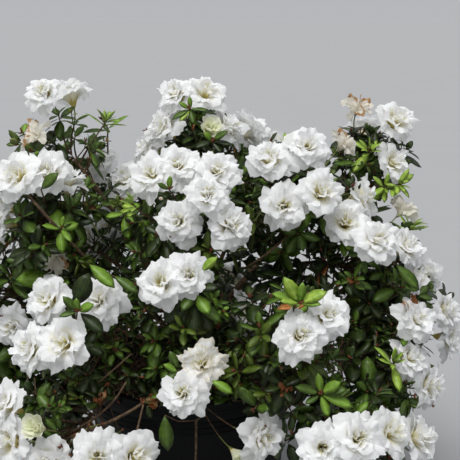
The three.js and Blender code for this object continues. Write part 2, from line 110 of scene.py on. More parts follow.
# Each spray: the azimuth, distance out and height of its heart, the reach of its twigs, the limb it
# grows from and the share or height at which it forks, how full of leafy twigs it is, and its
# flowers, each as azimuth, elevation and share of the reach from the heart.
SPRAYS = {
    "top": (84, 50, 508, 80, "trunk", "upper", 0.7, {
        "fresh": [(-120, 63, 1.09), (-60, 67, 1.08), (-133, 34, 0.82), (-37, 32, 0.85),
            (16, 19, 1.0), (-155, 8, 0.78), (95, 30, 1)],
        "opening": [(-73, 28, 1.03)]}),
    "left_top": (-174, 151, 522, 70, "trunk", "upper", 0.7, {
        "fresh": [(-130, 66, 1.1), (89, 62, 1.08), (150, -20, 1)],
        "spent": [(-134, 25, 0.75)]}),
    "back_right_upper": (22, 253, 488, 70, "trunk", "upper", 0.8, {
        "fresh": [(-43, 50, 1.14), (-60, 7, 0.91), (80, 30, 1)],
        "spent": [(-117, 70, 1.17)]}),
    "back_top": (62, 181, 440, 85, "trunk", "upper", 1, {
        "fresh": [(-96, 80, 1), (60, 40, 1), (110, 0, 1), (20, 5, 1), (75, -35, 1)]}),
    "front_left": (-128, 160, 300, 85, "trunk", "lower", 1, {
        "fresh": [(-107, 22, 1.2), (-133, 14, 1.2), (-154, 47, 1.08), (-82, 58, 1)]}),
    "front_right": (-59, 205, 315, 84, "trunk", "lower", 1, {
        "fresh": [(-76, 28, 1.12), (-52, 37, 1.2)]}),
    "back_right": (12, 282, 300, 84, "trunk", "lower", 0.8, {
        "fresh": [(-44, 4, 1), (-38, -22, 1.1), (40, 20, 0.9), (75, -5, 1)]}),
    "back_left": (140, 215, 345, 86, "trunk", "lower", 1, {
        "fresh": [(120, 35, 1), (160, 0, 1), (170, 50, 1), (105, -15, 1)]}),
    "centre_upper": (-87, 78, 430, 84, "top", 0.5, 0.8, {
        "fresh": [(-142, 55, 1.07), (-117, 73, 1.03), (-43, 59, 1.08), (-73, 36, 1.18),
            (-56, 15, 1.08), (-97, 22, 0.81)]}),
    "right_upper": (-10, 142, 452, 84, "back_right_upper", 0.5, 0.8, {
        "fresh": [(-126, 44, 1.12), (-83, 60, 1.09), (-77, 20, 1.1), (-107, 10, 1), (-11, 9, 0.93)],
        "spent": [(15, 53, 1.15)]}),
    "left_upper": (-156, 181, 436, 80, "left_top", 0.2, 0.8, {
        "fresh": [(-118, 53, 1.09), (-76, 62, 1.01), (-172, 8, 0.7), (37, 64, 0.7), (150, 15, 1)],
        "spent": [(-70, -45, 0.62)]}),
    "back_left_upper": (138, 127, 425, 80, "left_top", 0.35, 0.8, {
        "fresh": [(-127, 58, 1.03), (-78, 41, 0.94), (-98, -6, 0.9), (-122, -20, 1.02),
            (135, 25, 1)]}),
    "right": (-8, 217, 375, 80, "back_right_upper", 0.35, 0.9, {
        "fresh": [(-113, 49, 1.13), (-82, 33, 1.14), (-29, 27, 0.86), (-15, -6, 0.88)],
        "spent": [(26, 45, 1.2)]}),
    "front_centre": (-92, 125, 335, 84, "trunk", "upper", 1, {
        "fresh": [(-104, 42, 1.14), (-79, 47, 1.18), (12, 3, 0.89)]}),
    "left": (-178, 225, 335, 82, "front_left", 0.4, 1, {
        "fresh": [(-81, -25, 0.8), (-170, 10, 1), (140, 40, 1), (-150, -30, 0.9)]}),
    "right_low": (-18, 240, 262, 80, "front_right", 0.3, 1, {
        "fresh": [(-38, 49, 1.11), (-47, 20, 0.75), (-28, -12, 0.95)]}),
    "front_right_low": (-49, 262, 215, 80, "front_right", 0.5, 1, {
        "fresh": [(-106, 20, 1.12), (-81, 26, 1.2), (-46, 25, 1.05), (-20, 12, 1.2)]}),
    "front_low": (-85, 178, 250, 78, "front_centre", 0.3, 1, {
        "fresh": [(-100, 32, 1), (-33, -12, 1.14)],
        "opening": [(-38, -37, 0.95)],
        "fading": [(-79, 56, 1.04)]}),
    "front_left_low": (-122, 225, 222, 80, "front_left", 0.3, 1, {
        "fresh": [(-160, 30, 1.12), (-144, 8, 1.05), (-110, -6, 0.8), (-67, 5, 1.02), (-42, 0, 1.2)],
        "opening": [(-118, 26, 0.95)]}),
    "left_low": (168, 248, 240, 78, "back_left", 0.35, 1, {
        "fresh": [(-160, -5, 1), (130, 20, 1), (170, 35, 1)]}),
    "back_centre": (98, 215, 335, 86, "back_top", 0.35, 1, {
        "fresh": [(90, 25, 1), (60, -8, 1), (130, 10, 1), (55, 35, 1)],
        "spent": [(110, 60, 0.9)]}),
    "back_left_low": (128, 262, 228, 80, "back_left", 0.5, 1, {
        "fresh": [(110, 15, 1), (150, -5, 1), (130, 45, 1)]}),
    "back_low": (82, 255, 222, 80, "back_centre", 0.45, 1, {
        "fresh": [(100, 5, 1), (60, 25, 1), (80, 42, 1)]}),
    "back_right_low": (44, 268, 232, 82, "back_right", 0.45, 0.8, {
        "fresh": [(40, 15, 1), (10, -10, 1), (80, 0, 1), (45, 50, 1)]}),
}
SPRAY_NODES = ["spray_" + name for name in SPRAYS]
LIMB_NODES = ["limb_" + name for name in SPRAYS]

# Where each stream of random numbers starts. A spray's, shared with the solids, goes up by a step.
SEEDS = {"sprays": 1000, "spray_step": 77, "crumbs": 5, "chips": 12, "leaves": 400, "loose": 77,
         "petals": 9000, "stamens": 500}


# Small helpers

def lerp(low, high, share):
    return low + (high - low) * share


def polar(azimuth, elevation=0):
    a, e = math.radians(azimuth), math.radians(elevation)
    return Vector((math.cos(e) * math.cos(a), math.cos(e) * math.sin(a), math.sin(e)))


def seeded(seed):
    """A stream of numbers from 0 to 1 that is the same as the one the solids grew by."""
    full = 0xFFFFFFFF
    state = [seed]

    def draw():
        state[0] = (state[0] + 0x6D2B79F5) & full
        t = state[0]
        t = ((t ^ (t >> 15)) * (t | 1)) & full
        t ^= (t + (((t ^ (t >> 7)) * (t | 61)) & full)) & full
        return ((t ^ (t >> 14)) & full) / 2**32

    return draw


def linear(hex_colour):
    """An sRGB hex value as the linear colour that shaders take."""
    channels = [int(hex_colour[i:i + 2], 16) / 255 for i in (1, 3, 5)]
    curve = [c / 12.92 if c <= 0.04045 else ((c + 0.055) / 1.055) ** 2.4 for c in channels]
    return (*curve, 1)


# Materials

def start_material(name):
    material = bpy.data.materials.new(name)
    material.use_nodes = True
    tree = material.node_tree
    return material, tree, tree.nodes["Principled BSDF"]


def add_node(tree, kind, settings=None, links=None, stops=None):
    """Adds a node. Settings go to its inputs or, where it has no such input, to its own fields."""
    node = tree.nodes.new(kind)
    for key, value in (settings or {}).items():
        if isinstance(key, int) or key in node.inputs:
            node.inputs[key].default_value = value
        else:
            setattr(node, key, value)
    for key, source in (links or {}).items():
        tree.links.new(source, node.inputs[key])
    if stops:
        ramp = node.color_ramp
        for element, (place, hex_colour) in zip(
                [ramp.elements[0], ramp.elements[-1]], [stops[0], stops[-1]]):
            element.position, element.color = place, linear(hex_colour)
        for place, hex_colour in stops[1:-1]:
            ramp.elements.new(place).color = linear(hex_colour)
    return node


def mottled(tree, shader, grain_mm, stops, detail=4, relief_mm=0.0, relief_share=1.0):
    """Colours a shader by a soft noise of this grain, and raises the same grain by relief_mm."""
    coordinates = add_node(tree, "ShaderNodeTexCoord")
    noise = add_node(
        tree, "ShaderNodeTexNoise", {"Scale": 1 / (grain_mm * MM), "Detail": detail},
        {"Vector": coordinates.outputs["Object"]})
    ramp = add_node(tree, "ShaderNodeValToRGB", links={"Fac": noise.outputs["Fac"]}, stops=stops)
    tree.links.new(ramp.outputs["Color"], shader.inputs["Base Color"])
    if relief_mm:
        bump = add_node(
            tree, "ShaderNodeBump", {"Distance": relief_mm * MM, "Strength": relief_share},
            {"Height": noise.outputs["Fac"]})
        tree.links.new(bump.outputs["Normal"], shader.inputs["Normal"])
    return noise


def petal_tissue(name, shade, light):
    """Petal tissue: thin, watery cells under a matt skin. Light comes through from behind."""
    material, tree, shader = start_material(name)
    mottled(tree, shader, 5, [(0.35, shade), (0.65, light)], relief_mm=0.3, relief_share=0.4)
    shader.inputs["Roughness"].default_value = 0.6
    shader.inputs["IOR"].default_value = 1.4
    shader.inputs["Specular IOR Level"].default_value = 0.3
    through = add_node(tree, "ShaderNodeBsdfTranslucent", {"Color": linear(light)})
    both = add_node(tree, "ShaderNodeMixShader", {"Fac": 0.55},
                    {1: shader.outputs["BSDF"], 2: through.outputs["BSDF"]})
    tree.links.new(both.outputs["Shader"], tree.nodes["Material Output"].inputs["Surface"])
    return material


def leaf_cuticle(name, shade, light, roughness=0.43):
    """A leathery evergreen leaf: a waxy skin that gives a soft, broken highlight."""
    material, tree, shader = start_material(name)
    mottled(tree, shader, 6, [(0.3, shade), (0.7, light)], relief_mm=0.8, relief_share=0.35)
    shader.inputs["Roughness"].default_value = roughness
    shader.inputs["IOR"].default_value = 1.45
    shader.inputs["Specular IOR Level"].default_value = 0.4
    return material


def bark(name, shade, middle, light, grain_mm=3.0, relief_mm=1.2):
    """Bark: dry, fissured cork with no shine, paler on its ridges."""
    material, tree, shader = start_material(name)
    mottled(tree, shader, grain_mm, [(0.3, shade), (0.5, middle), (0.72, light)],
            detail=8, relief_mm=relief_mm, relief_share=0.8)
    shader.inputs["Roughness"].default_value = 0.88
    return material


def moulded_polypropylene():
    """Blown black polypropylene: a satin skin, dusty from handling and water marks."""
    material, tree, shader = start_material("moulded_black_polypropylene")
    # Painted shade: these blacks are darker than the plastic's own, for the shade of the crown over the
    # pot
    noise = mottled(tree, shader, 25, [(0.35, "#030404"), (0.62, "#070808"), (0.78, "#101110")],
                    detail=8, relief_mm=0.2)
    rough = add_node(tree, "ShaderNodeMapRange", {"To Min": 0.4, "To Max": 0.62},
                     {"Value": noise.outputs["Fac"]})
    tree.links.new(rough.outputs["Result"], shader.inputs["Roughness"])
    shader.inputs["IOR"].default_value = 1.49
    # The reflection is turned down too, to keep the shaded pot dark
    shader.inputs["Specular IOR Level"].default_value = 0.12
    return material


def composted_bark():
    """Potting mix of composted bark: damp, crumbly and almost black."""
    return bark("composted_bark_mix", "#120c08", "#2a1d13", "#4a3524", grain_mm=5, relief_mm=3)


def studio_floor():
    """A painted studio floor: pale, matt and even, so that the plant's shadow lies softly."""
    material, tree, shader = start_material("studio_floor_paint")
    mottled(tree, shader, 400, [(0.4, "#9a9b9c"), (0.6, "#9b9c9d")])
    shader.inputs["Roughness"].default_value = 0.9
    return material


# Meshes

def finish_piece(made, name, finishes, stands_for):
    """Names a piece, gives it its materials and ties it to the frame."""
    made.name = name
    made.data.name = name
    for finish in finishes:
        made.data.materials.append(finish)
    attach(made, "root")
    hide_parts(*stands_for)
    made.select_set(False)


def mesh_from(points, faces, face_finish=None):
    """An object from arrays: points in millimetres, and faces that all have as many corners."""
    data = bpy.data.meshes.new("made")
    points = np.asarray(points, float).reshape(-1, 3) * MM
    faces = np.asarray(faces, int)
    corners = faces.shape[1]
    data.vertices.add(len(points))
    data.vertices.foreach_set("co", points.ravel())
    data.loops.add(faces.size)
    data.loops.foreach_set("vertex_index", faces.ravel())
    data.polygons.add(len(faces))
    data.polygons.foreach_set("loop_start", np.arange(0, faces.size, corners))
    if face_finish is not None:
        data.polygons.foreach_set("material_index", np.asarray(face_finish, int))
    data.polygons.foreach_set("use_smooth", np.ones(len(faces), bool))
    data.update(calc_edges=True)
    made = bpy.data.objects.new("made", data)
    bpy.context.scene.collection.objects.link(made)
    return made


def repeated(triangles, corners, copies):
    """The triangles of many copies of one small shape that has this many corners."""
    return (triangles[None] + (np.arange(copies) * corners)[:, None, None]).reshape(-1, 3)


def select_only(*objects):
    bpy.ops.object.select_all(action="DESELECT")
    for one in objects:
        one.select_set(True)
    bpy.context.view_layer.objects.active = objects[0]


def apply_modifiers(made):
    select_only(made)
    for modifier in list(made.modifiers):
        bpy.ops.object.modifier_apply(modifier=modifier.name)


def join(objects):
    select_only(*objects)
    bpy.ops.object.join()
    return bpy.context.view_layer.objects.active


def bars(paths, sides_level):
    """Round bars in one mesh. Each path is a list of places with a radius, in millimetres."""
    data = bpy.data.curves.new("bars", "CURVE")
    data.dimensions = "3D"
    data.bevel_depth = MM
    data.bevel_resolution = sides_level
    data.use_fill_caps = True
    for path in paths:
        spline = data.splines.new("POLY")
        spline.points.add(len(path) - 1)
        for point, (place, radius) in zip(spline.points, path):
            point.co = (*(place * MM), 1)
            point.radius = radius
    made = bpy.data.objects.new("bars", data)
    bpy.context.scene.collection.objects.link(made)
    select_only(made)
    bpy.ops.object.convert(target="MESH")
    made = bpy.context.view_layer.objects.active
    bpy.ops.object.shade_smooth()
    return made


# What the sprays bear besides

# Young, bright shoots: azimuth, elevation and share of the reach, by spray
YOUNG_SHOOTS = {
    "left_top": [(28, 31, 0.91)],
    "back_right_upper": [(-91, 22, 0.95), (-78, -12, 1.28), (-68, -9, 1.36)],
    "right_upper": [(-116, 62, 1.0)], "back_left_upper": [(-85, 19, 1.0)],
    "centre_upper": [(-146, 29, 1.02)], "right": [(8, 36, 1.05)],
    "front_right": [(-78, 46, 1.2)], "right_low": [(-75, 20, 0.9)],
}

# Sprays with small leaves, as shares of the usual size, and thin sprays, as the share of their
# leafy twigs that are there
SMALL_LEAVED = {"left_top": 0.9, "back_right_upper": 0.95, "front_left": 0.78, "front_centre": 0.85,
                "front_left_low": 0.85}
THIN = {"left_top": 0.5, "back_right_upper": 0.8}

# How often a leafy twig has leaves of each tone: as a rule, and in the sprays on the upper left,
# whose leaves are lighter. Then the same for the leaves below a flower, on a side shoot and on a
# limb.
LEAF_SHARES = {"deep": 0.54, "middle": 0.28, "olive": 0.11, "light": 0.07}
LIGHTER_SHARES = {"deep": 0.26, "middle": 0.42, "olive": 0.14, "light": 0.18}
LIGHTER_SPRAYS = ("left_upper", "back_left_upper", "left_top")
COLLAR_SHARES = {"deep": 0.48, "middle": 0.4, "light": 0.12}
SIDE_SHARES = {"deep": 0.5, "middle": 0.28, "olive": 0.14, "light": 0.08}
# Leaves on a limb stand within the crown and are mostly deep, which is partly painted shade
LIMB_SHARES = {"deep": 0.7, "middle": 0.2, "olive": 0.1}

# Growth that the rule doesn't give, laid one by one: the places along each twig, and its radius at
# both ends. A twig with four places is an arch that starts and ends along them.
LOOSE_TWIGS = (
    # A stem and a stalk before the pot's left shoulder, and two that rise beside them
    ([(-150, -200, 211), (-104, -212, 236), (-62, -212, 253), (-44, -206, 264)], 2.6, 1.6),
    ([(-43, -207, 263), (-48, -222, 243), (-57, -234, 222)], 1.3, 1.1),
    ([(-150, -200, 213), (-97, -205, 244), (-71, -205, 270), (-62, -200, 287)], 2.0, 1.2),
    ([(-100, -186, 276), (-78, -203, 300), (-56, -195, 318)], 1.0, 0.8),
    # A long stem that shows through the crown on the left, and a short one in the middle
    ([(-180, -125, 487), (-161, -130, 465), (-140, -125, 440), (-117, -105, 404)], 1.7, 2.0),
    ([(-117, -105, 404), (-85, -70, 350), (-45, -32, 290), (-8, -8, 252)], 2.0, 2.8),
    ([(70, -70, 382), (89, -80, 395), (110, -80, 414), (137, -70, 436)], 1.8, 1.4),
    # Stems that hang before the middle of the rim
    ([(15, -177, 250), (40, -194, 258), (30, -203, 248), (15, -204, 243)], 1.8, 1.5),
    ([(15, -204, 243), (15, -206, 210), (13, -208, 160)], 1.5, 1.2),
    ([(15, -204, 243), (-4, -214, 246), (-19, -215, 254)], 0.8, 0.7),
    # A tall bare shoot and a shorter one behind the left of the crown
    ([(-94, 85, 425), (-106, 55, 450), (-108, 46, 500), (-106, 45, 541)], 1.8, 1.1),
    ([(-122, -5, 447), (-134, -4, 467), (-147, 2, 492), (-157, 8, 518)], 2.2, 1.6),
    ([(-106, 45, 540), (-109, 44, 546), (-113, 44, 551)], 1, 0.9),
    # Short twigs between the flowers, which bear the leaves below
    ([(5, 40, 520), (5, 10, 548), (4, -20, 571)], 1.4, 0.9),
    ([(14, -150, 352), (14, -172, 366), (14, -188, 377)], 1.3, 0.9),
    ([(14, -188, 377), (15, -194, 388), (20, -196, 402), (22, -196, 413)], 0.9, 0.7),
    ([(-115, -150, 320), (-118, -190, 350), (-110, -222, 375)], 1.3, 0.9),
    ([(-92, -140, 380), (-97, -170, 408), (-100, -190, 419)], 1.1, 0.8),
    ([(-84, -140, 378), (-78, -170, 400), (-74, -190, 406)], 1.1, 0.8),
    ([(12, -180, 285), (6, -210, 305), (-3, -230, 312)], 1.1, 0.8),
    ([(115, -190, 308), (132, -225, 296), (149, -250, 294)], 1.3, 1.0),
    ([(225, -55, 385), (240, -80, 395), (250, -100, 395)], 1.1, 0.8),
    ([(240, -80, 300), (255, -105, 312), (262, -118, 315)], 1.0, 0.7),
    ([(12, 20, 515), (24, -15, 530), (31, -40, 534)], 1.3, 0.9),
    ([(-4, -95, 455), (-10, -118, 480), (-16, -132, 491)], 1.1, 0.8),
    ([(-164, -95, 460), (-160, -125, 482), (-158, -146, 494)], 1.1, 0.8),
)
# Their leaves: tone, foot, tip, the way the leaf faces, and its width as a share of the usual
LOOSE_LEAVES = (
    # Before the rim
    ("middle", (-19, -215, 254), (-16, -219, 211), (0, -1, 0.2), 0.85),
    ("deep", (-39, -206, 262), (-34, -209, 247), (0.3, -1, 0), 1.1),
    # On the tall bare shoot
    ("light", (-105, 45, 540), (-80, 42, 559), (-0.5, -0.6, 1), 0.6),
    ("middle", (-107, 45, 537), (-138, 38, 538), (0.1, -0.5, 1), 0.65),
    ("deep", (-107, 45, 530), (-126, 36, 525), (0.1, -0.6, 1), 0.75),
    ("light", (-106, 45, 539), (-97, 34, 545), (0, -0.4, 1), 0.9),
    # Under the top pair of flowers
    ("light", (4, -20, 571), (4, -25, 587), (0, -1, 0.3), 0.8),
    ("light", (4, -20, 571), (-9, -26, 580), (0, -1, 0.5), 0.8),
    ("middle", (4, -20, 571), (-19, -26, 560), (-0.3, -0.8, 0.8), 0.75),
    ("young", (4, -20, 570), (-9, -30, 558), (-0.2, -1, 0.6), 0.8),
    ("middle", (4, -20, 571), (26, -27, 572), (0.1, -0.7, 1), 0.7),
    ("deep", (4, -20, 571), (38, -17, 567), (0.1, -0.5, 1), 0.65),
    ("middle", (4, -20, 570), (9, -30, 554), (0.1, -1, 0.5), 0.9),
    # Over the front right pair
    ("young", (125, -252, 394), (109, -262, 423), (-0.2, -1, 0.4), 0.9),
    ("light", (125, -252, 394), (127, -262, 418), (0, -1, 0.4), 0.8),
    ("young", (125, -252, 394), (151, -262, 410), (0.1, -0.9, 0.8), 0.95),
    ("light", (125, -252, 394), (145, -266, 398), (0.2, -0.9, 0.8), 0.8),
    ("young", (125, -252, 394), (105, -266, 402), (-0.1, -0.8, 1), 0.8),
    ("light", (125, -252, 394), (97, -262, 409), (-0.2, -0.8, 1), 0.8),
    # Under the middle pair
    ("deep", (10, -186, 377), (-20, -200, 356), (-0.2, -0.9, 0.6), 1.0),
    ("deep", (11, -188, 376), (-6, -203, 347), (-0.1, -1, 0.3), 1.05),
    ("deep", (14, -190, 374), (13, -205, 342), (0, -1, 0.3), 1.25),
    ("deep", (16, -186, 373), (34, -198, 343), (0.1, -1, 0.3), 1.0),
    ("middle", (16, -188, 376), (45, -200, 357), (0.2, -0.9, 0.6), 0.8),
    ("light", (16, -194, 386), (31, -212, 370), (0.2, -1, 0.4), 1.15),
    ("middle", (13, -194, 387), (1, -212, 374), (-0.2, -1, 0.4), 1.1),
    ("deep", (16, -196, 393), (40, -206, 399), (0.1, -0.8, 0.8), 1.0),
    ("young", (22, -196, 413), (38, -206, 431), (0.2, -0.9, 0.6), 0.85),
    # Between the left flowers
    ("middle", (-109, -222, 376), (-123, -230, 394), (-0.2, -1, 0.5), 0.9),
    ("light", (-109, -222, 376), (-92, -230, 386), (0.2, -1, 0.6), 1.1),
    ("middle", (-110, -222, 375), (-129, -228, 373), (-0.2, -0.8, 1), 0.9),
    ("light", (-109, -222, 376), (-109, -232, 392), (0, -1, 0.4), 0.9),
    ("deep", (-112, -216, 380), (-97, -224, 417), (0.1, -1, 0.3), 1.15),
    ("deep", (-107, -220, 373), (-81, -232, 356), (0.3, -0.9, 0.5), 1.0),
    ("light", (-100, -190, 419), (-71, -205, 398), (0.3, -0.9, 0.6), 0.85),
    ("middle", (-74, -190, 406), (-46, -202, 391), (0.3, -0.9, 0.6), 0.75),
    # Beside the fading flower
    ("light", (33, -236, 303), (57, -244, 292), (0.2, -0.9, 0.7), 0.85),
    ("light", (-3, -232, 311), (-17, -238, 322), (-0.2, -0.9, 0.7), 0.85),
    ("middle", (-3, -230, 313), (-16, -240, 302), (-0.2, -0.9, 0.5), 0.95),
    ("middle", (-3, -228, 314), (-11, -233, 334), (-0.1, -1, 0.4), 0.95),
    # A rosette low on the right
    ("light", (149, -250, 294), (145, -256, 318), (-0.1, -1, 0.4), 0.8),
    ("light", (149, -250, 294), (168, -258, 310), (0.1, -0.9, 0.6), 1.0),
    ("middle", (149, -250, 294), (176, -256, 302), (0.1, -0.8, 0.8), 0.85),
    ("light", (149, -250, 293), (184, -258, 283), (0.2, -0.8, 0.8), 0.8),
    ("light", (149, -250, 292), (157, -260, 271), (0.1, -1, 0.3), 0.85),
    ("middle", (148, -250, 294), (122, -256, 305), (-0.1, -0.8, 0.8), 0.85),
    ("middle", (148, -250, 292), (132, -260, 287), (-0.2, -0.8, 0.8), 0.9),
    # Before the flowers on the right
    ("middle", (250, -100, 395), (278, -112, 368), (0.3, -0.9, 0.5), 0.85),
    ("light", (262, -118, 315), (258, -124, 301), (0, -1, 0.3), 1.2),
    # Under the opening bud
    ("middle", (31, -40, 534), (49, -48, 548), (0, -0.9, 0.7), 0.85),
    ("deep", (31, -40, 534), (10, -50, 529), (-0.1, -0.8, 0.8), 0.9),
    ("deep", (31, -40, 534), (57, -46, 532), (0.1, -0.7, 1), 0.65),
    ("light", (31, -40, 534), (23, -48, 546), (0, -1, 0.5), 1.1),
    ("deep", (31, -40, 533), (43, -50, 522), (0.1, -1, 0.5), 0.9),
    # Between and before the flowers in the middle and on the left
    ("light", (-16, -132, 491), (-14, -140, 508), (0, -1, 0.3), 0.8),
    ("middle", (-16, -132, 491), (-28, -140, 500), (-0.1, -1, 0.5), 0.8),
    ("middle", (-158, -146, 494), (-138, -154, 514), (0, -1, 0.5), 0.95),
)
# Shoots that close the crown where the rule leaves it open: tone, foot, tip, number of leaves and
# their size. Most are deep, and so partly painted shade within the crown.
LOOSE_SHOOTS = (
    ("deep", (167, -90, 219), (159, -130, 251), 8, 1.0),
    ("deep", (160, -95, 225), (147, -140, 262), 7, 0.9),
    ("middle", (172, -95, 225), (173, -142, 260), 7, 0.85),
    ("deep", (103, 10, 323), (106, -40, 364), 8, 1.0),
    ("deep", (96, 10, 330), (92, -22, 354), 7, 0.9),
    ("deep", (112, 0, 335), (121, -50, 371), 7, 0.9),
    ("deep", (90, 0, 370), (77, -40, 397), 7, 0.9),
    ("deep", (80, 0, 365), (64, -40, 388), 6, 0.8),
    ("middle", (-118, -20, 440), (-107, -42, 457), 7, 0.8),
    ("deep", (-100, -20, 415), (-93, -42, 432), 7, 0.85),
    ("middle", (-132, -15, 455), (-126, -36, 474), 6, 0.7),
    ("deep", (-152, -12, 480), (-146, -32, 496), 6, 0.7),
    ("light", (-84, -30, 430), (-74, -62, 452), 7, 0.75),
    ("deep", (90, 30, 330), (105, 60, 358), 9, 1.0),
    ("deep", (62, 50, 290), (74, 80, 316), 8, 0.95),
    ("deep", (126, 40, 300), (143, 60, 330), 9, 1.0),
    ("deep", (150, 40, 318), (171, 60, 347), 9, 1.0),
    ("deep", (172, 24, 338), (192, 40, 366), 8, 0.95),
    ("deep", (58, 36, 338), (71, 60, 367), 8, 0.95),
    ("deep", (130, 28, 350), (147, 50, 378), 8, 0.95),
    ("deep", (36, 40, 300), (48, 60, 327), 8, 0.95),
    ("deep", (-118, -50, 262), (-150, -72, 217), 9, 1.0),
    ("deep", (-112, -48, 262), (-131, -74, 232), 9, 1.0),
    ("deep", (-108, -50, 268), (-123, -74, 250), 8, 0.95),
    ("deep", (-125, -52, 262), (-155, -70, 237), 8, 1.0),
    ("deep", (-130, -54, 240), (-141, -74, 198), 8, 0.95),
    ("deep", (-140, -56, 240), (-164, -72, 202), 8, 0.95),
    ("deep", (-205, -50, 238), (-195, -90, 220), 9, 1.0),
    ("middle", (-195, -55, 235), (-184, -100, 217), 8, 0.9),
    ("deep", (-165, -40, 245), (-155, -66, 228), 8, 0.95),
    ("deep", (-150, -40, 240), (-141, -66, 219), 8, 0.95),
    ("deep", (-120, -44, 225), (-129, -64, 198), 8, 0.95),
    ("deep", (-128, -48, 215), (-136, -66, 184), 8, 0.95),
    ("deep", (-140, -56, 212), (-151, -84, 182), 8, 0.95),
    ("deep", (-166, -56, 226), (-177, -88, 199), 8, 0.95),
)
# Where tufts of old bud scales stand on the twigs laid one by one
LOOSE_TUFTS = (
    (-44, -206, 264), (-44, -206, 264), (-113, 44, 551), (4, -21, 571), (125, -253, 393),
    (-110, -223, 375), (149, -251, 293), (149, -251, 293), (31, -41, 533), (-16, -133, 491),
)
# Small withered flowers that still hang on: their places, by spray
WITHERED = {"right_low": [(268, -104, 352), (300, -96, 222)], "front_low": [(-30, -206, 268)]}


# The growth rule, as in the solids

def lay_out_limbs():
    """Where each spray's heart is, and how its limb runs: start, bend and end of a curve."""
    laid = {}
    for name, (azimuth, out, up, reach, parent, fork, _, _) in SPRAYS.items():
        heart = polar(azimuth) * out + UP * up
        if parent == "trunk":
            along = (LIMB[fork] - MIX["top_height"]) / (TRUNK["top"] - MIX["top_height"])
            start = TRUNK["lean"] * along + UP * LIMB[fork]
            heading = ((heart - start).normalized() + UP * LIMB["rise"]).normalized()
        else:
            start = curve_place(laid[parent]["curve"], fork)
            tangent = curve_tangent(laid[parent]["curve"], fork)
            heading = ((heart - start).normalized() + tangent * LIMB["follow"]).normalized()
        bend = start + heading * LIMB["bulge"] * (heart - start).length
        inward = (heart - bend).normalized()
        end = heart - inward * LIMB["end_short"] * reach
        radius = LIMB["main_radius"] if parent == "trunk" else LIMB["side_radius"]
        laid[name] = {"heart": heart, "reach": reach, "inward": inward, "radius": radius,
                      "curve": (start, bend, end)}
    return laid


def curve_place(curve, share):
    start, bend, end = curve
    rest = 1 - share
    return start * rest * rest + bend * 2 * rest * share + end * share * share


def curve_tangent(curve, share):
    start, bend, end = curve
    return ((bend - start) * (1 - share) + (end - bend) * share).normalized()


def even_headings(count, turn):
    """Headings spread evenly over a sphere, turned about by a given share of a round."""
    golden = math.pi * (3 - math.sqrt(5))
    headings = []
    for i in range(count):
        height = 1 - (2 * i + 1) / count
        level = math.sqrt(1 - height * height)
        angle = i * golden + turn * TURN
        headings.append(Vector((level * math.cos(angle), level * math.sin(angle), height)))
    return headings


def flower_place(middle, facing, turn, size):
    """The place and aim of a flower that is made round the Z axis, with its rim at zero height."""
    aim = UP.rotation_difference(facing) @ Quaternion(UP, turn)
    return Matrix.Translation(middle) @ aim.to_matrix().to_4x4() @ Matrix.Scale(size, 4)


def arch(start, end, leaving, arriving, count):
    """Places along a smooth arch between two points with given headings at its ends."""
    span = (end - start).length
    first = start + leaving * span * ARCH["leaving"]
    second = end - arriving * span * ARCH["arriving"]
    places = []
    for i in range(count):
        t = i / (count - 1)
        r = 1 - t
        places.append(start * r**3 + first * 3 * r * r * t + second * 3 * r * t * t + end * t**3)
    return places


def grow(laid):
    """Every spray's stem, flowers and leafy twigs. The first draws are those of the solids."""
    sprays = []
    near_flower = math.cos(math.radians(TWIG["from_flower"]))
    near_limb = math.cos(math.radians(TWIG["from_limb"]))
    for index, (name, limb) in enumerate(laid.items()):
        draw = seeded(SEEDS["sprays"] + SEEDS["spray_step"] * index)
        *_, fill, by_age = SPRAYS[name]
        heart, reach, inward = limb["heart"], limb["reach"], limb["inward"]
        stem_start = limb["curve"][2]

        def fork(heading):
            forward = (1 + heading.dot(inward)) / 2
            share = lerp(TWIG["first_fork"], TWIG["last_fork"], forward)
            return stem_start.lerp(heart, share + TWIG["fork_spread"] * draw())

        flowers = []
        for age, size in AGES.items():
            for azimuth, elevation, share in by_age.get(age, []):
                heading = polar(azimuth, elevation)
                middle = heart + heading * share * reach
                outward = Vector((middle.x, middle.y, 0)).normalized()
                facing = heading + UP * BLOOM["lift"] + outward * BLOOM["outward"]
                if elevation > BLOOM["high"] and heading.y < 0:
                    facing -= Vector((0, BLOOM["lean"], 0))
                facing.normalize()
                place = flower_place(middle, facing, draw() * TURN, size)
                flowers.append({"age": age, "heading": heading, "facing": facing,
                                "place": place, "start": fork(heading), "spray": name})
        shoots = []
        for heading in even_headings(round(TWIG["headings"] * fill), draw()):
            tip = heart + heading * reach * lerp(TWIG["shortest"], TWIG["longest"], draw())
            start = fork(heading)
            if any(one["heading"].dot(heading) > near_flower for one in flowers):
                continue
            if -heading.dot(inward) > near_limb:
                continue
            shoots.append({"heading": heading, "start": start, "tip": tip})
        sprays.append({"name": name, "limb": limb, "stem": (stem_start, heart),
                       "flowers": flowers, "shoots": shoots})
    return sprays


# Pot and potting mix

def spun(name, outline, segments):
    """A body turned about the Z axis from an outline of radii and heights, as on a lathe."""
    bpy.ops.mesh.primitive_circle_add(vertices=3, radius=1)
    made = bpy.context.active_object
    bpy.ops.object.mode_set(mode="EDIT")
    bpy.ops.mesh.delete(type="VERT")
    bpy.ops.object.mode_set(mode="OBJECT")
    points = [(radius * MM, 0, height * MM) for radius, height in outline]
    edges = [(i, i + 1) for i in range(len(points) - 1)]
    made.data.from_pydata(points, edges, [])
    bpy.ops.object.mode_set(mode="EDIT")
    bpy.ops.mesh.select_all(action="SELECT")
    bpy.ops.mesh.spin(steps=segments, angle=TURN, center=(0, 0, 0), axis=(0, 0, 1))
    bpy.ops.mesh.select_all(action="SELECT")
    bpy.ops.mesh.remove_doubles(threshold=0.01 * MM)
    bpy.ops.mesh.normals_make_consistent(inside=False)
    bpy.ops.object.mode_set(mode="OBJECT")
    made.name = name
    return made


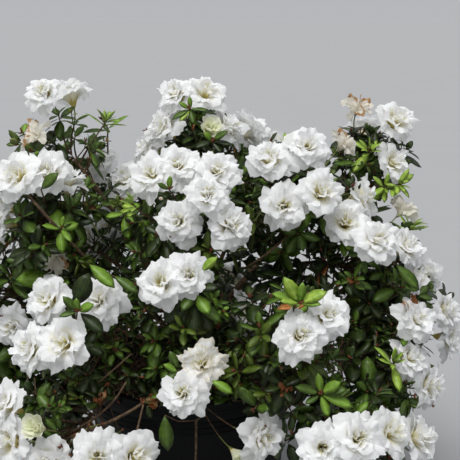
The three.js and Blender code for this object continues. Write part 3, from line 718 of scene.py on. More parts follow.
def pot():
    """The nursery pot: a rolled rim band over shallow ribs, a step, a slim foot and drain holes."""
    p = POT
    wall = p["wall"]
    under_rim = p["height"] - p["rim_depth"]
    under_step = p["step_height"] - p["step_slope"]
    hollow, floor = p["hollow_height"], p["hollow_height"] + p["floor"]
    # The foot stands on a rounded edge, round a shallow hollow
    foot = [
        (0, hollow), (p["hollow_radius"], hollow), (p["hollow_radius"] + hollow, 0),
        (p["foot_radius"] - 5, 0), (p["foot_radius"], 2), (p["foot_radius"] + 1.5, 6),
    ]
    step = [(p["step_radius"], under_step), (p["top_radius"] - 1, p["step_height"])]
    # Each rib is a shallow groove with sloping sides
    ribs = [
        (p["top_radius"] - 0.5 - deep * p["rib_depth"], height + up * p["rib_width"])
        for height in p["rib_heights"]
        for deep, up in ((0, -0.5), (1, -0.25), (1, 0.25), (0, 0.5))
    ]
    # The rim band has a sharp lower edge and leans out to a rolled top
    rim_band = [
        (p["top_radius"], under_rim), (p["rim_radius"] - 2.2, under_rim + 0.4),
        (p["rim_radius"] - 1.2, under_rim + 1.6), (p["rim_radius"] - 0.6, p["height"] - 4.5),
        (p["rim_radius"], p["height"] - 3), (p["rim_radius"] - 0.6, p["height"] - 0.8),
        (p["rim_radius"] - 2.4, p["height"]),
    ]
    inside = [
        (p["top_radius"] - wall + 2, p["height"]), (p["top_radius"] - wall, p["height"] - 2),
        (p["top_radius"] - 1 - wall, p["step_height"]), (p["step_radius"] - wall, under_step),
        (p["foot_radius"] - wall, floor), (0, floor),
    ]
    made = spun("pot_body", foot + step + ribs + rim_band + inside, p["segments"])
    for i in range(p["drain_holes"]):
        spot = polar((i + 0.5) * 360 / p["drain_holes"]) * p["foot_radius"] * MM
        bpy.ops.mesh.primitive_cylinder_add(
            vertices=p["drain_sides"], radius=p["drain_radius"] * MM,
            depth=3 * p["drain_radius"] * MM, location=(spot.x, spot.y, p["drain_rise"] * MM))
        drill = bpy.context.active_object
        cut = made.modifiers.new("drain", "BOOLEAN")
        cut.operation = "DIFFERENCE"
        cut.object = drill
        apply_modifiers(made)
        bpy.data.objects.remove(drill)
    select_only(made)
    bpy.ops.object.shade_smooth_by_angle(angle=math.radians(35))
    finish_piece(made, "nursery_pot", [moulded_polypropylene()], ["pot"])


def mix_height(share):
    """How high the potting mix stands at a share of the way in from its edge to its middle."""
    return lerp(MIX["edge_height"], MIX["top_height"], min(1, MIX["mound"] * share))


def mix():
    """The potting mix: a mounded, crumbly surface, closed below."""
    m = MIX
    inside = -POT["wall"] - m["gap"]
    edge = POT["top_radius"] - 1 + inside
    outline = [
        (0, m["foot_height"]), (POT["foot_radius"] + inside, m["foot_height"]),
        (POT["step_radius"] + inside, POT["step_height"] - 7), (edge, POT["step_height"]),
    ]
    outline += [(lerp(edge, 0, i / m["rings"]), mix_height(i / m["rings"]))
                for i in range(m["rings"] + 1)]
    made = spun("mix_body", outline, m["segments"])
    rng = np.random.default_rng(SEEDS["crumbs"])
    crumbs = rng.normal(0, m["crumb"] * MM, len(made.data.vertices))
    for vertex, crumb in zip(made.data.vertices, crumbs):
        if vertex.co.z > (m["edge_height"] - 4) * MM and vertex.co.xy.length < (edge - 1) * MM:
            vertex.co.z += crumb - m["settled"] * MM
    made.data.update()
    finish = composted_bark()
    finish_piece(made, "potting_mix_surface", [finish], ["potting_mix"])


def bark_chips():
    """Chips of bark that lie on the potting mix: flat, uneven flakes."""
    bpy.ops.mesh.primitive_ico_sphere_add(subdivisions=1, radius=1)
    chip = bpy.context.active_object
    shape = np.array([vertex.co for vertex in chip.data.vertices])
    triangles = np.array([list(polygon.vertices) for polygon in chip.data.polygons])
    bpy.data.objects.remove(chip)
    c = CHIPS
    rng = np.random.default_rng(SEEDS["chips"])
    points = []
    for _ in range(c["count"]):
        out = math.sqrt(rng.uniform(c["inner"]**2, c["outer"]**2))
        height = mix_height(1 - out / POT["top_radius"]) + c["lift"]
        spot = polar(rng.uniform(0, 360)) * out + UP * height
        size = [rng.uniform(*c["length"]), rng.uniform(*c["width"]), rng.uniform(*c["thickness"])]
        uneven = shape * size * rng.uniform(*c["unevenness"], shape.shape)
        lean = Quaternion(polar(rng.uniform(0, 360)), rng.uniform(*c["lean"]))
        turned = (lean @ Quaternion(UP, rng.uniform(0, TURN))).to_matrix()
        points.append(uneven @ np.array(turned).T + np.array(spot))
    made = mesh_from(np.array(points), repeated(triangles, len(shape), len(points)))
    finish = bark("pine_bark_chips", "#2b1a11", "#4b3020", "#6e4c35", grain_mm=4, relief_mm=1)
    finish_piece(made, "bark_chips", [finish], ["potting_mix"])


# Wood

def trunk_body():
    """The trunk's form: a lobed root flare, a slight lean and a rounded head."""
    t = TRUNK
    foot = MIX["top_height"] - t["sunk"]
    tall = t["top"] - MIX["top_height"]
    outline = [(0, foot), (t["foot_radius"] + t["flare_reach"], foot)]
    for share in (0, 0.1, 0.2, 0.35, 0.5, 0.75, 1):
        flare = t["flare_reach"] * math.exp(-share * tall / t["flare_height"])
        radius = lerp(t["foot_radius"], t["top_radius"], share) + flare
        outline.append((radius, lerp(foot + 1, t["top"] - 6, share)))
    outline += [(t["top_radius"] * t["head"], t["top"]), (0, t["top"] + 1)]
    made = spun("trunk_body", outline, t["segments"])
    for vertex in made.data.vertices:
        height = vertex.co.z / MM - foot
        lobe = math.cos(t["flare_lobes"] * math.atan2(vertex.co.y, vertex.co.x))
        swell = 1 + t["lobe_depth"] * lobe * math.exp(-height / t["flare_height"])
        vertex.co.x *= swell
        vertex.co.y *= swell
        vertex.co += t["lean"] * MM * height / (t["top"] - foot)
    return made


def limb_path(limb):
    """A limb's path, and on along its spray's stem to the spray's heart."""
    shares = [i / LIMB["steps"] for i in range(LIMB["steps"] + 1)]
    path = [
        (curve_place(limb["curve"], share),
         lerp(limb["radius"], LIMB["tip_radius"], share ** LIMB["taper"]))
        for share in shares
    ]
    halfway = limb["curve"][2].lerp(limb["heart"], 0.5)
    path.append((halfway, lerp(LIMB["tip_radius"], TWIG["stem_tip"], 0.5)))
    path.append((limb["heart"], TWIG["stem_tip"]))
    return path


def trunk_and_limbs(sprays):
    """Trunk and limbs grown together, with the relief of their bark."""
    trunk = trunk_body()
    limbs = bars([limb_path(spray["limb"]) for spray in sprays], 3)
    made = join([trunk, limbs])
    skin = made.modifiers.new("one_skin", "REMESH")
    skin.mode = "VOXEL"
    skin.voxel_size = 1.7 * MM
    smooth = made.modifiers.new("soft_forks", "SMOOTH")
    smooth.factor = 0.5
    smooth.iterations = 4
    # Fissures and knots, each by its grain and height in millimetres and how fine its noise is
    for name, grain, height, depth in (("fissures", 7, 1.3, 3), ("knots", 22, 1.8, 2)):
        texture = bpy.data.textures.new(name, "CLOUDS")
        texture.noise_scale = grain * MM
        texture.noise_depth = depth
        raised = made.modifiers.new(name, "DISPLACE")
        raised.texture = texture
        raised.texture_coords = "GLOBAL"
        raised.strength = height * MM
        raised.mid_level = 0.5
    apply_modifiers(made)
    bpy.ops.object.shade_smooth()
    finish = bark("weathered_azalea_bark", "#2a1e13", "#4e3b26", "#7f6a4e")
    finish_piece(made, "bark_of_trunk_and_limbs", [finish], ["trunk", *LIMB_NODES])


# Leaves

LEAF_SIDES = ("upper", "under", "rib")  # the order of a leaf's materials
# Each tone's upper side, midrib and underside, each from its darkest to its lightest shade
LEAF_TONES = {
    # Deep is a dark leaf green, and partly painted shade: its colours are darker still, for the shade
    # within the crown, where most deep leaves stand
    "deep": (("#182209", "#2a380f"), ("#2b3a1a", "#3a4d23"), ("#4c6032", "#5f7448")),
    "middle": (("#354a15", "#4b641d"), ("#50692d", "#627d38"), ("#5c733a", "#6f884c")),
    "olive": (("#384814", "#51631b"), ("#5a6430", "#6c773c"), ("#6a7440", "#7c8650")),
    "light": (("#587823", "#70912d"), ("#7b9846", "#8ca955"), ("#74904a", "#86a05c")),
    "young": (("#668829", "#98b044"), ("#98b458", "#b3c870"), ("#829c48", "#9ab45e")),
    "turning": (("#844527", "#a97438"), ("#b5763c", "#c9914f"), ("#a5683e", "#ba8550")),
}
# The sides of the solids' box, in millimetres
BOX_LOW, BOX_HIGH = np.array(cad_box) / MM


def leaf_template():
    """One leaf, from a five-sided sphere: two blades, a pale rib between them and an underside."""
    bpy.ops.mesh.primitive_uv_sphere_add(
        segments=LEAF["sides"], ring_count=LEAF["sides"], radius=1)
    made = bpy.context.active_object
    points = np.array([vertex.co for vertex in made.data.vertices])
    faces = [list(polygon.vertices) for polygon in made.data.polygons]
    bpy.data.objects.remove(made)
    along = np.arccos(np.clip(points[:, 2], -1, 1)) / math.pi
    turn = np.degrees(np.arctan2(points[:, 1], points[:, 0]))
    column = np.round(turn / (360 / LEAF["sides"])).astype(int) % LEAF["sides"]
    inside = (along > 0.01) & (along < 0.99)
    outline = np.sin(math.pi * along ** LEAF["belly"]) ** LEAF["fullness"]
    # Round the leaf: its keel, one edge, both sides of the midrib, and the other edge
    keel, rib = 0, {2, 3}
    sideways = np.array([0, 1, LEAF["rib_share"], -LEAF["rib_share"], -1])
    height = np.array([LEAF["keel"], LEAF["edge"], LEAF["rib"], LEAF["rib"], LEAF["edge"]])
    shape = np.stack([
        np.where(inside, sideways[column] * outline * LEAF["width"] / 2, 0),
        along * LEAF["length"],
        np.where(inside, height[column] * outline, 0),
    ], axis=1)
    triangles, finish = [], []
    for face in faces:
        columns = {int(column[i]) for i in face if inside[i]}
        kind = "rib" if columns == rib else "under" if keel in columns else "upper"
        for i in range(1, len(face) - 1):
            triangles.append((face[0], face[i], face[i + 1]))
            finish.append(LEAF_SIDES.index(kind))
    return shape, np.array(triangles), np.array(finish)


class Leaves:
    """Leaves gathered by tone, each as a foot, a heading, a facing, a size, a width and a curl."""

    def __init__(self, flowers):
        self.by_tone = {tone: [] for tone in LEAF_TONES}
        self.scale = 1  # how large the leaves of the spray in hand are
        inverted = np.array([one["place"].inverted() for one in flowers])
        self.turn, self.shift = inverted[:, :3, :3], inverted[:, :3, 3]

    def has_room(self, foot, heading, length):
        """Whether a leaf stays inside the box, above the skirt, and clear of pot and flowers."""
        places = np.array([foot + heading * length * share for share in (0.3, 0.65, 1.0)])
        x, y, z = places.T
        if np.any(places < BOX_LOW + ROOM["box"]) or np.any(places > BOX_HIGH - ROOM["box"]):
            return False
        before_pot = (np.abs(x) < FRONT["half_width"]) & (y < 0)
        front_skirt = FRONT["skirt"] + FRONT["slope"] * np.maximum(0, -y - POT["rim_radius"])
        if np.any(z < np.where(before_pot, front_skirt, SKIRT)):
            return False
        if np.any(np.all((places > OPENING[0]) & (places < OPENING[1]), axis=1)):
            return False
        low = z < POT["height"] + ROOM["over_pot"]
        if np.any(low & (np.hypot(x, y) < POT["rim_radius"] + ROOM["round_pot"])):
            return False
        local = np.einsum("fij,pj->fpi", self.turn, places) + self.shift[:, None]
        rho = np.hypot(local[..., 0], local[..., 1]) / BLOOM["radius"]
        behind = -BLOOM["back"] * (1 - rho) - ROOM["behind"]
        before = ROOM["throat"] * (ROOM["throat_reach"] - rho) + ROOM["before"]
        return not np.any((rho < 1) & (local[..., 2] > behind) & (local[..., 2] < before))

    def add(self, tone, foot, heading, facing, size, width, curl):
        size *= self.scale
        if self.has_room(foot, heading, LEAF["length"] * size):
            self.by_tone[tone].append((foot, heading, facing, size, width, curl))


def sideways_of(heading, turn):
    """A unit vector square to a heading, turned about it."""
    return Quaternion(heading, turn) @ heading.orthogonal().normalized()


# A whorl: how its leaves wind round the twig, as a share of a turn, and how unevenly. How unevenly
# they slant, in degrees, and how far down the twig the lowest one stands. The lowest and the top
# leaf's size and droop, as shares. Which way they face, and how they differ from one another.
WHORL = {"winding": 0.382, "uneven_turn": 0.4, "uneven_slant": 13, "depth": 9,
         "sizes": (1.2, 0.6), "droops": (0.5, 0.1), "face_up": 0.7, "face_spread": 0.22,
         "growth": (0.8, 1.15), "widths": (0.85, 1.15), "young_width": 0.74, "curls": (-0.3, 1.7),
         "turning": 0.004}

# Kinds of whorl: the range of the number of leaves and of their size, and the slant from the twig,
# in degrees, of the top leaf and of the lowest
COLLAR = {"count": (6, 9), "size": (0.85, 1.1), "slants": (58, 92)}
TIP_WHORL = {"count": (6, 9), "size": (0.85, 1.12), "slants": (38, 86)}
SIDE_WHORL = {"count": (4, 7), "size": (0.42, 0.8), "slants": (40, 80)}
LIMB_WHORL = {"count": (5, 9), "size": (0.5, 0.85), "slants": (30, 85)}
YOUNG_WHORL = {"count": 12, "size": (0.8, 1), "slants": (16, 70)}

# Growth laid one by one: the places along an arching twig, how far a leaf's tip curls, and a shoot's
# radii, how it turns up and the slants of its leaves
LOOSE = {"steps": 8, "curl": 0.6, "radii": (1.1, 0.7), "turn_up": 0.3, "slants": (32, 86)}

# A flower's twig: the places along its path, the one where its green stalk begins, and how often a
# side shoot leaves it. The cup below the flower: places along its axis, each with a radius.
FLOWER_TWIG = {"steps": 8, "node": 5, "inward": 0.5, "side_chance": 0.5}
CUP = ((-1.5, 0.9), (1.5, 2.3), (5, 3.2))
# A leafy twig: the places along its path and those that side shoots leave, how often they do and
# how far they head along the twig, aside and up. Then how the twig heads inwards at its start and
# up at its end, and how often it bears old bud scales.
LEAFY_TWIG = {"steps": 7, "side_places": (3, 4, 5), "side_chance": 0.5, "branch": (0.6, 0.8, 0.3),
              "inward": 0.5, "turn_up": 0.6, "room": 4, "scales_chance": 0.45}
SIDE_SHOOT = {"length": (14, 26), "radii": (0.9, 0.65), "room": 8}
# Buds: how long and thick, and how thick at the foot
TIP_BUD = {"length": 6, "radius": 1.9, "foot": 0.8}
SIDE_BUD = {"length": 4.5, "radius": 1.5, "foot": 0.7}
# Old bud scales: how many, how they lean in degrees, their length, and their radii from foot to tip
SCALES = {"count": 5, "lean": (10, 55), "length": (4, 8), "widest": 0.55, "radii": (0.5, 1.2, 0.3)}
# Bare twigs inside a spray, and short leafy ones along a limb
BARE_TWIG = {"count": 9, "foot": (-0.4, 0.8), "length": (0.3, 0.75), "inward": 0.6, "up": 0.25,
             "crook": 3, "turn_up": (0, 0.5), "radii": (1.1, 0.85, 0.55), "room": 6}
LIMB_TWIG = {"count": 9, "foot": (0.3, 0.98), "length": (24, 58), "up": 0.35, "arch": 2,
             "radii": (1.1, 0.9, 0.6), "room": 6, "leaves_up": 0.4}
# Withered flowers: how often a leafy twig bears one, how low it hangs, and its size
WITHERING = {"chance": 0.05, "hang": 12, "elevation": -10, "droop": (0.2, 1), "size": (0.4, 0.6)}


def whorl(leaves, rng, tip, heading, tone, count, size, slants):
    """Leaves set round a tip: large and spreading ones below, small and more upright ones above."""
    w = WHORL
    first = rng.uniform(0, TURN)
    for i in range(count):
        share = i / max(1, count - 1)
        uneven_slant = rng.uniform(-w["uneven_slant"], w["uneven_slant"])
        slant = math.radians(lerp(slants[1], slants[0], share) + uneven_slant)
        uneven_turn = rng.uniform(-w["uneven_turn"], w["uneven_turn"])
        side = sideways_of(heading, first + i * TURN * w["winding"] + uneven_turn)
        aim = (heading * math.cos(slant) + side * math.sin(slant)).normalized()
        aim = (aim - UP * rng.uniform(0, lerp(*w["droops"], share))).normalized()
        spread = Vector(rng.normal(0, w["face_spread"], 3))
        facing = (heading + UP * w["face_up"] + spread).normalized()
        foot = tip - heading * lerp(w["depth"], 0, share)
        grown = size * lerp(*w["sizes"], share) * rng.uniform(*w["growth"])
        worn = tone if rng.random() > w["turning"] else "turning"
        width = rng.uniform(*w["widths"]) * (w["young_width"] if tone == "young" else 1)
        leaves.add(worn, foot, aim, facing, grown, width, rng.uniform(*w["curls"]))


def drawn_whorl(leaves, rng, tip, heading, tone, kind):
    """A whorl whose count and size are drawn from its kind's ranges."""
    count = int(rng.integers(*kind["count"]))
    size = rng.uniform(*kind["size"])
    whorl(leaves, rng, tip, heading, tone, count, size, kind["slants"])


def drawn_tone(rng, shares):
    return rng.choice(list(shares), p=list(shares.values()))


def taper(places, start_radius, end_radius):
    """A path along places whose radius goes evenly from one to the other."""
    last = len(places) - 1
    return [(place, lerp(start_radius, end_radius, i / last)) for i, place in enumerate(places)]


def bud(end, heading, kind):
    """The path of a pointed bud on a twig's end, thickest a third of the way up."""
    length = kind["length"]
    return [(end - heading, kind["foot"]), (end + heading * (length / 3), kind["radius"]),
            (end + heading * length, 0.5)]


def old_scales(wood, rng, end, heading):
    """Old bud scales, dry and curled, that still stand round the tip of a twig."""
    for _ in range(SCALES["count"]):
        lean = math.radians(rng.uniform(*SCALES["lean"]))
        side = sideways_of(heading, rng.uniform(0, TURN))
        aim = heading * math.cos(lean) + side * math.sin(lean)
        length = rng.uniform(*SCALES["length"])
        places = [end, end + aim * length * SCALES["widest"], end + aim * length]
        wood["buds"].append(list(zip(places, SCALES["radii"])))


def lowest(place):
    """How low a twig may hang at a place."""
    if abs(place.x) > FRONT["half_width"] or place.y > 0:
        return SKIRT
    return FRONT["skirt"] + FRONT["slope"] * max(0, -place.y - POT["rim_radius"])


def side_shoot(leaves, rng, wood, start, branch):
    """A short green shoot with a whorl of small leaves and a bud."""
    end = start + branch * rng.uniform(*SIDE_SHOOT["length"])
    if end.z < lowest(end) + SIDE_SHOOT["room"]:
        return
    wood["green"].append(list(zip((start, end), SIDE_SHOOT["radii"])))
    wood["buds"].append(bud(end, branch, SIDE_BUD))
    drawn_whorl(leaves, rng, end, branch, drawn_tone(rng, SIDE_SHARES), SIDE_WHORL)


def flowering_twig(leaves, rng, wood, flower, inward):
    """A twig with its collar of leaves, and the green stalk and cup that hold the flower."""
    facing = flower["facing"]
    base = flower["place"] @ Vector((0, 0, -BLOOM["back"]))
    leaving = (flower["heading"] + inward * FLOWER_TWIG["inward"]).normalized()
    places = arch(flower["start"], base, leaving, facing, FLOWER_TWIG["steps"])
    at = FLOWER_TWIG["node"]
    wood["brown"].append(taper(places[:at + 1], TWIG["base"], TWIG["tip"]))
    wood["green"].append(taper(places[at:], TWIG["tip"], TWIG["tip"]))
    wood["green"].append([(base + facing * along, radius) for along, radius in CUP])
    heading = (places[at + 1] - places[at]).normalized()
    drawn_whorl(leaves, rng, places[at], heading, drawn_tone(rng, COLLAR_SHARES), COLLAR)
    if rng.random() < FLOWER_TWIG["side_chance"]:
        side = sideways_of(heading, rng.uniform(0, TURN))
        side_shoot(leaves, rng, wood, places[at - 1], (heading + side).normalized())


def leafy_twig(leaves, rng, wood, start, tip, heading, inward, tone):
    """A twig that arches to a whorl at its tip, with side shoots lower down."""
    t = LEAFY_TWIG
    leaving = (heading + inward * t["inward"]).normalized()
    arriving = (heading + UP * t["turn_up"]).normalized()
    places = arch(start, tip, leaving, arriving, t["steps"])
    if any(place.z < lowest(place) + t["room"] for place in places):
        return
    wood["brown"].append(taper(places, TWIG["base"], TWIG["tip"]))
    end = places[-1]
    if rng.random() < t["scales_chance"]:
        old_scales(wood, rng, end, arriving)
    else:
        wood["buds"].append(bud(end, arriving, TIP_BUD))
    if tone == "young":
        size = rng.uniform(*YOUNG_WHORL["size"])
        whorl(leaves, rng, end, arriving, tone, YOUNG_WHORL["count"], size, YOUNG_WHORL["slants"])
        return
    drawn_whorl(leaves, rng, end, arriving, tone, TIP_WHORL)
    onward, aside, up = t["branch"]
    for at in t["side_places"]:
        if rng.random() < t["side_chance"]:
            toward = (places[at] - places[at - 1]).normalized()
            side = sideways_of(toward, rng.uniform(0, TURN))
            branch = (toward * onward + side * aside + UP * up).normalized()
            side_shoot(leaves, rng, wood, places[at], branch)


def bare_twigs(rng, wood, spray):
    """Old, leafless twigs inside a spray."""
    b = BARE_TWIG
    start, heart = spray["stem"]
    for _ in range(b["count"]):
        foot = start.lerp(heart, rng.uniform(*b["foot"]))
        aim = Vector(rng.normal(0, 1, 3)).normalized()
        aim = (aim + spray["limb"]["inward"] * b["inward"] + UP * b["up"]).normalized()
        half = rng.uniform(*b["length"]) * spray["limb"]["reach"] * 0.5
        crook = foot + aim * half + Vector(rng.normal(0, b["crook"], 3))
        end = crook + (aim + UP * rng.uniform(*b["turn_up"])).normalized() * half
        if min(end.z, crook.z) > lowest(end) + b["room"]:
            wood["brown"].append(list(zip((foot, crook, end), b["radii"])))


def limb_twigs(leaves, rng, wood, spray):
    """Short side twigs along a limb, with small dark leaves (partly painted shade) that close the crown
    within.
    """
    t = LIMB_TWIG
    curve = spray["limb"]["curve"]
    for _ in range(t["count"]):
        share = rng.uniform(*t["foot"])
        foot = curve_place(curve, share)
        side = sideways_of(curve_tangent(curve, share), rng.uniform(0, TURN))
        aim = (side + UP * t["up"]).normalized()
        tip = foot + aim * rng.uniform(*t["length"])
        if min(tip.z, foot.z) < lowest(tip) + t["room"]:
            continue
        halfway = foot.lerp(tip, 0.5) + UP * t["arch"]
        wood["brown"].append(list(zip((foot, halfway, tip), t["radii"])))
        heading = (aim + UP * t["leaves_up"]).normalized()
        drawn_whorl(leaves, rng, tip, heading, drawn_tone(rng, LIMB_SHARES), LIMB_WHORL)


def loose_growth(leaves, wood):
    """The twigs, leaves, tufts of scales and shoots that are listed one by one."""
    rng = np.random.default_rng(SEEDS["loose"])
    for laid, start_radius, end_radius in LOOSE_TWIGS:
        places = [Vector(place) for place in laid]
        if len(places) > 3:
            leaving = (places[1] - places[0]).normalized()
            arriving = (places[-1] - places[-2]).normalized()
            places = arch(places[0], places[-1], leaving, arriving, LOOSE["steps"])
        wood["brown"].append(taper(places, start_radius, end_radius))
    for tone, foot, tip, facing, width in LOOSE_LEAVES:
        along = Vector(tip) - Vector(foot)
        size = along.length / LEAF["length"]
        aim, facing = along.normalized(), Vector(facing).normalized()
        leaves.by_tone[tone].append((Vector(foot), aim, facing, size, width, LOOSE["curl"]))
    for place in LOOSE_TUFTS:
        old_scales(wood, rng, Vector(place), UP)
    leaves.scale = 1
    for tone, foot, tip, count, size in LOOSE_SHOOTS:
        foot, tip = Vector(foot), Vector(tip)
        wood["brown"].append(list(zip((foot, tip), LOOSE["radii"])))
        heading = ((tip - foot).normalized() + UP * LOOSE["turn_up"]).normalized()
        whorl(leaves, rng, tip, heading, tone, count, size, LOOSE["slants"])


def withered_flower(rng, spray_name, place):
    """A small, dry flower that hangs from a place."""
    w = WITHERING
    facing = polar(rng.uniform(0, 360), w["elevation"]) - UP * rng.uniform(*w["droop"])
    facing.normalize()
    hung = Vector(place) + facing * w["hang"]
    turn = rng.uniform(0, TURN)
    return {"age": "withered", "spray": spray_name,
            "place": flower_place(hung, facing, turn, rng.uniform(*w["size"]))}


def grow_leaves(sprays, leaves):
    """Every spray's twigs and leaves. Gives the wood as paths by its kind, and the withered flowers."""
    wood = {"brown": [], "green": [], "buds": []}
    withered = []
    for index, spray in enumerate(sprays):
        rng = np.random.default_rng(SEEDS["leaves"] + index)
        name, inward = spray["name"], spray["limb"]["inward"]
        start, heart = spray["stem"]
        # The sprays on the upper left are dealt lighter leaves
        shares = LIGHTER_SHARES if name in LIGHTER_SPRAYS else LEAF_SHARES
        leaves.scale = SMALL_LEAVED.get(name, 1)
        for azimuth, elevation, share in YOUNG_SHOOTS.get(name, []):
            heading = polar(azimuth, elevation)
            tip = heart + heading * share * spray["limb"]["reach"]
            leafy_twig(leaves, rng, wood, start.lerp(heart, 0.5), tip, heading, inward, "young")
        for flower in spray["flowers"]:
            flowering_twig(leaves, rng, wood, flower, inward)
        for shoot in spray["shoots"]:
            if rng.random() > THIN.get(name, 1):
                continue
            leafy_twig(leaves, rng, wood, shoot["start"], shoot["tip"], shoot["heading"], inward,
                       drawn_tone(rng, shares))
            if rng.random() < WITHERING["chance"]:
                withered.append(withered_flower(rng, name, shoot["tip"]))
        bare_twigs(rng, wood, spray)
        limb_twigs(leaves, rng, wood, spray)
        withered += [withered_flower(rng, name, place) for place in WITHERED.get(name, [])]
    loose_growth(leaves, wood)
    return wood, withered


def leaf_pieces(leaves):
    """The leaves of each tone, joined in pieces of fewer than MOST_TRIANGLES."""
    shape, triangles, finish = leaf_template()
    most = MOST_TRIANGLES // len(triangles) - 1
    for tone, gathered in leaves.by_tone.items():
        upper, rib, under = LEAF_TONES[tone]
        finishes = [
            leaf_cuticle(tone + "_leaf", *upper), leaf_cuticle(tone + "_underside", *under, 0.6),
            leaf_cuticle(tone + "_midrib", *rib, 0.5),
        ]
        for part in range(0, len(gathered), most):
            some = gathered[part:part + most]
            points = np.empty((len(some), len(shape), 3))
            for i, (foot, heading, facing, size, width, curl) in enumerate(some):
                across = heading.cross(facing).normalized()
                over = across.cross(heading)
                bent = shape * [size * width, size, size]
                bent[:, 2] -= curl * LEAF["curl"] * size * (shape[:, 1] / LEAF["length"]) ** 2
                points[i] = bent @ np.array([across, heading, over]) + np.array(foot)
            faces = repeated(triangles, len(shape), len(some))
            made = mesh_from(points, faces, np.tile(finish, len(some)))
            name = f"leaves_{tone}_{part // most + 1}"
            finish_piece(made, name, finishes, SPRAY_NODES)


# Flowers

# A petal's blade: how far round its rim goes, how wide and long its claw is, and how round the
# blade is. Its rim is toothed, as counts and heights, and notched. It overlaps the next petal by a
# tilt, and has soft pleats. Then how much petals differ, and how far its middle follows its rim up.
BLADE = {"half_angle": 1.62, "claw_width": 0.16, "claw": 1.35, "round": 0.42,
         "teeth": ((6, 1), (14, 0.6), (26, 0.6)), "tooth": 0.028, "notch": 0.04,
         "notch_width": 0.15, "notch_places": (-0.2, 0.2), "tilt": 1.4, "pleats": 8, "pleat": 0.35,
         "widths": (0.88, 1.12), "reaches": (0.9, 1.05), "cups": (0.2, 1.3), "narrowest": 3.5,
         "follow": 0.45}
# The ruffles of a petal's rim: where along the petal they start and how steeply they grow, how much
# of them is even and how much comes and goes, how far they sink at the corners, and how many there
# are. Slow and fine ones lie over them, as shares of that number.
RUFFLES = {"start": 0.4, "steepness": 1.7, "even": 0.75, "uneven": 0.4, "uneven_waves": 2.3,
           "corners": 0.5, "waves": 6.5, "waves_spread": (0.85, 1.2), "slow": 0.4, "fine": 2.4}
# How wide flowers open, how often a fresh one is full, and how unevenly its petals stand round it
OPENNESS, FULL_CHANCE, UNEVENNESS = (0.92, 1.06), 0.75, (-0.13, 0.13)
# Petals below these widths get a narrow and a middling grid, and the others a broad one
NARROW, MIDDLING = 15, 30

# Rows of petals, the outer first: radii as shares of the row's reach, and heights, both from the
# tube's foot to the rim, and the shares of a petal's length at which its tone changes from throat
# to lime, cream, flushed and white. The last row is the small, twisted petals that fill the throat,
# whose number varies.
OUTER = {"count": 5, "first": 18, "width": 38, "reach": 31.5, "radii": (0.07, 0.2, 0.66, 1),
         "heights": (-21, -7, 6, -5), "rise_spread": 4.5, "ruffle": 2.2, "frill": 1.2, "cup": -1.5,
         "twist": 0.15, "tones": (0.14, 0.25, 0.4, 0.55)}
MIDDLE = {"count": 5, "first": 54, "width": 34, "reach": 27, "radii": (0.08, 0.17, 0.55, 1),
          "heights": (-20, -4, 11, 4), "rise_spread": 5, "ruffle": 2.5, "frill": 1.3, "cup": 0.5,
          "twist": 0.3, "tones": (0.25, 0.38, 0.52, 0.68)}
INNER = {"count": 5, "first": 20, "width": 26, "reach": 20, "radii": (0.09, 0.15, 0.5, 1),
         "heights": (-19, -2, 14, 11), "rise_spread": 4.5, "ruffle": 2.2, "frill": 1.1, "cup": 1,
         "twist": 0.5, "tones": (0.25, 0.38, 0.52, 0.68)}
CREST = {"count": (4, 8), "first": 30, "width": 14, "reach": 11, "radii": (0.12, 0.2, 0.6, 1),
         "heights": (-18, -3, 11, 15), "rise_spread": 4, "ruffle": 1.6, "frill": 0.6, "cup": 1.5,
         "twist": 1.1, "tones": (0.3, 0.48, 0.64, 0.8)}
PETALS = {
    "open": [OUTER, MIDDLE, CREST],
    "full": [{**OUTER, "heights": (-21, -5, 8, -9)}, MIDDLE, INNER, CREST],
    "fading": [
        {**OUTER, "width": 32, "rise_spread": 7, "ruffle": 3, "cup": 2, "tones": MIDDLE["tones"]},
        {**MIDDLE, "width": 30, "rise_spread": 8, "ruffle": 3.4, "frill": 1.8, "cup": 3,
         "twist": 0.8},
        {**CREST, "ruffle": 2.4},
    ],
    "opening": [
        {**OUTER, "reach": 21, "heights": (-21, -9, 8, 15), "cup": 5, "ruffle": 0.8, "frill": 0.4},
        {**MIDDLE, "reach": 14, "heights": (-20, -5, 9, 17), "cup": 6, "ruffle": 1, "frill": 0.4},
    ],
    "spent": [
        {**OUTER, "width": 24, "rise_spread": 12, "ruffle": 3.4, "twist": 1.3, "cup": 7},
        {**MIDDLE, "width": 18, "rise_spread": 9, "ruffle": 3, "twist": 1.4, "cup": 5},
    ],
    "withered": [
        {**OUTER, "count": (4, 8), "width": 14, "reach": 22, "radii": (0.06, 0.3, 0.5, 0.7),
         "heights": (-21, -17, -15, -24), "rise_spread": 10, "ruffle": 2.6, "twist": 1.6, "cup": 6},
    ],
}
# A fresh petal's tones from its throat to its rim, and then those of opening and ageing flowers
PETAL_TONES = {
    "throat": ("#d6c873", "#e4d98c"), "lime": ("#e8dfa4", "#efe8b8"),
    "cream": ("#f1ecd0", "#f5f1dc"), "flushed": ("#f3f2e6", "#f8f7ee"),
    "white": ("#f7f8f9", "#fefefe"), "bud_cream": ("#ebeecf", "#f6f7e6"),
    "ivory": ("#ebe5d7", "#f5f2e9"), "tan": ("#ab7d50", "#cfa87c"),
    "withered": ("#6b3f24", "#94603a"),
}
# How browning shows, by share of a petal's length: where a fading petal's rim turns ivory, and
# where fading and spent petals turn tan. Then how often a withered petal is dark.
BROWNING = {"ivory": 0.86, "fading": (0.84, 1.08), "spent": (0.78, 1.5), "dark": 0.7}
# Stamens: how many show in a flower, how deep they start, and how far out and up they reach, with
# a tip and their radii from foot to tip
STAMENS = {"count": 5, "foot": 16, "out": (2, 7), "up": (7, 14), "tip": 1.6,
           "radii": (0.45, 0.35, 0.35, 0.75)}
# How deep inside the solids' box petals begin to be eased, and how near its sides they may come
EASE = {"depth": 14, "margin": 0.5}


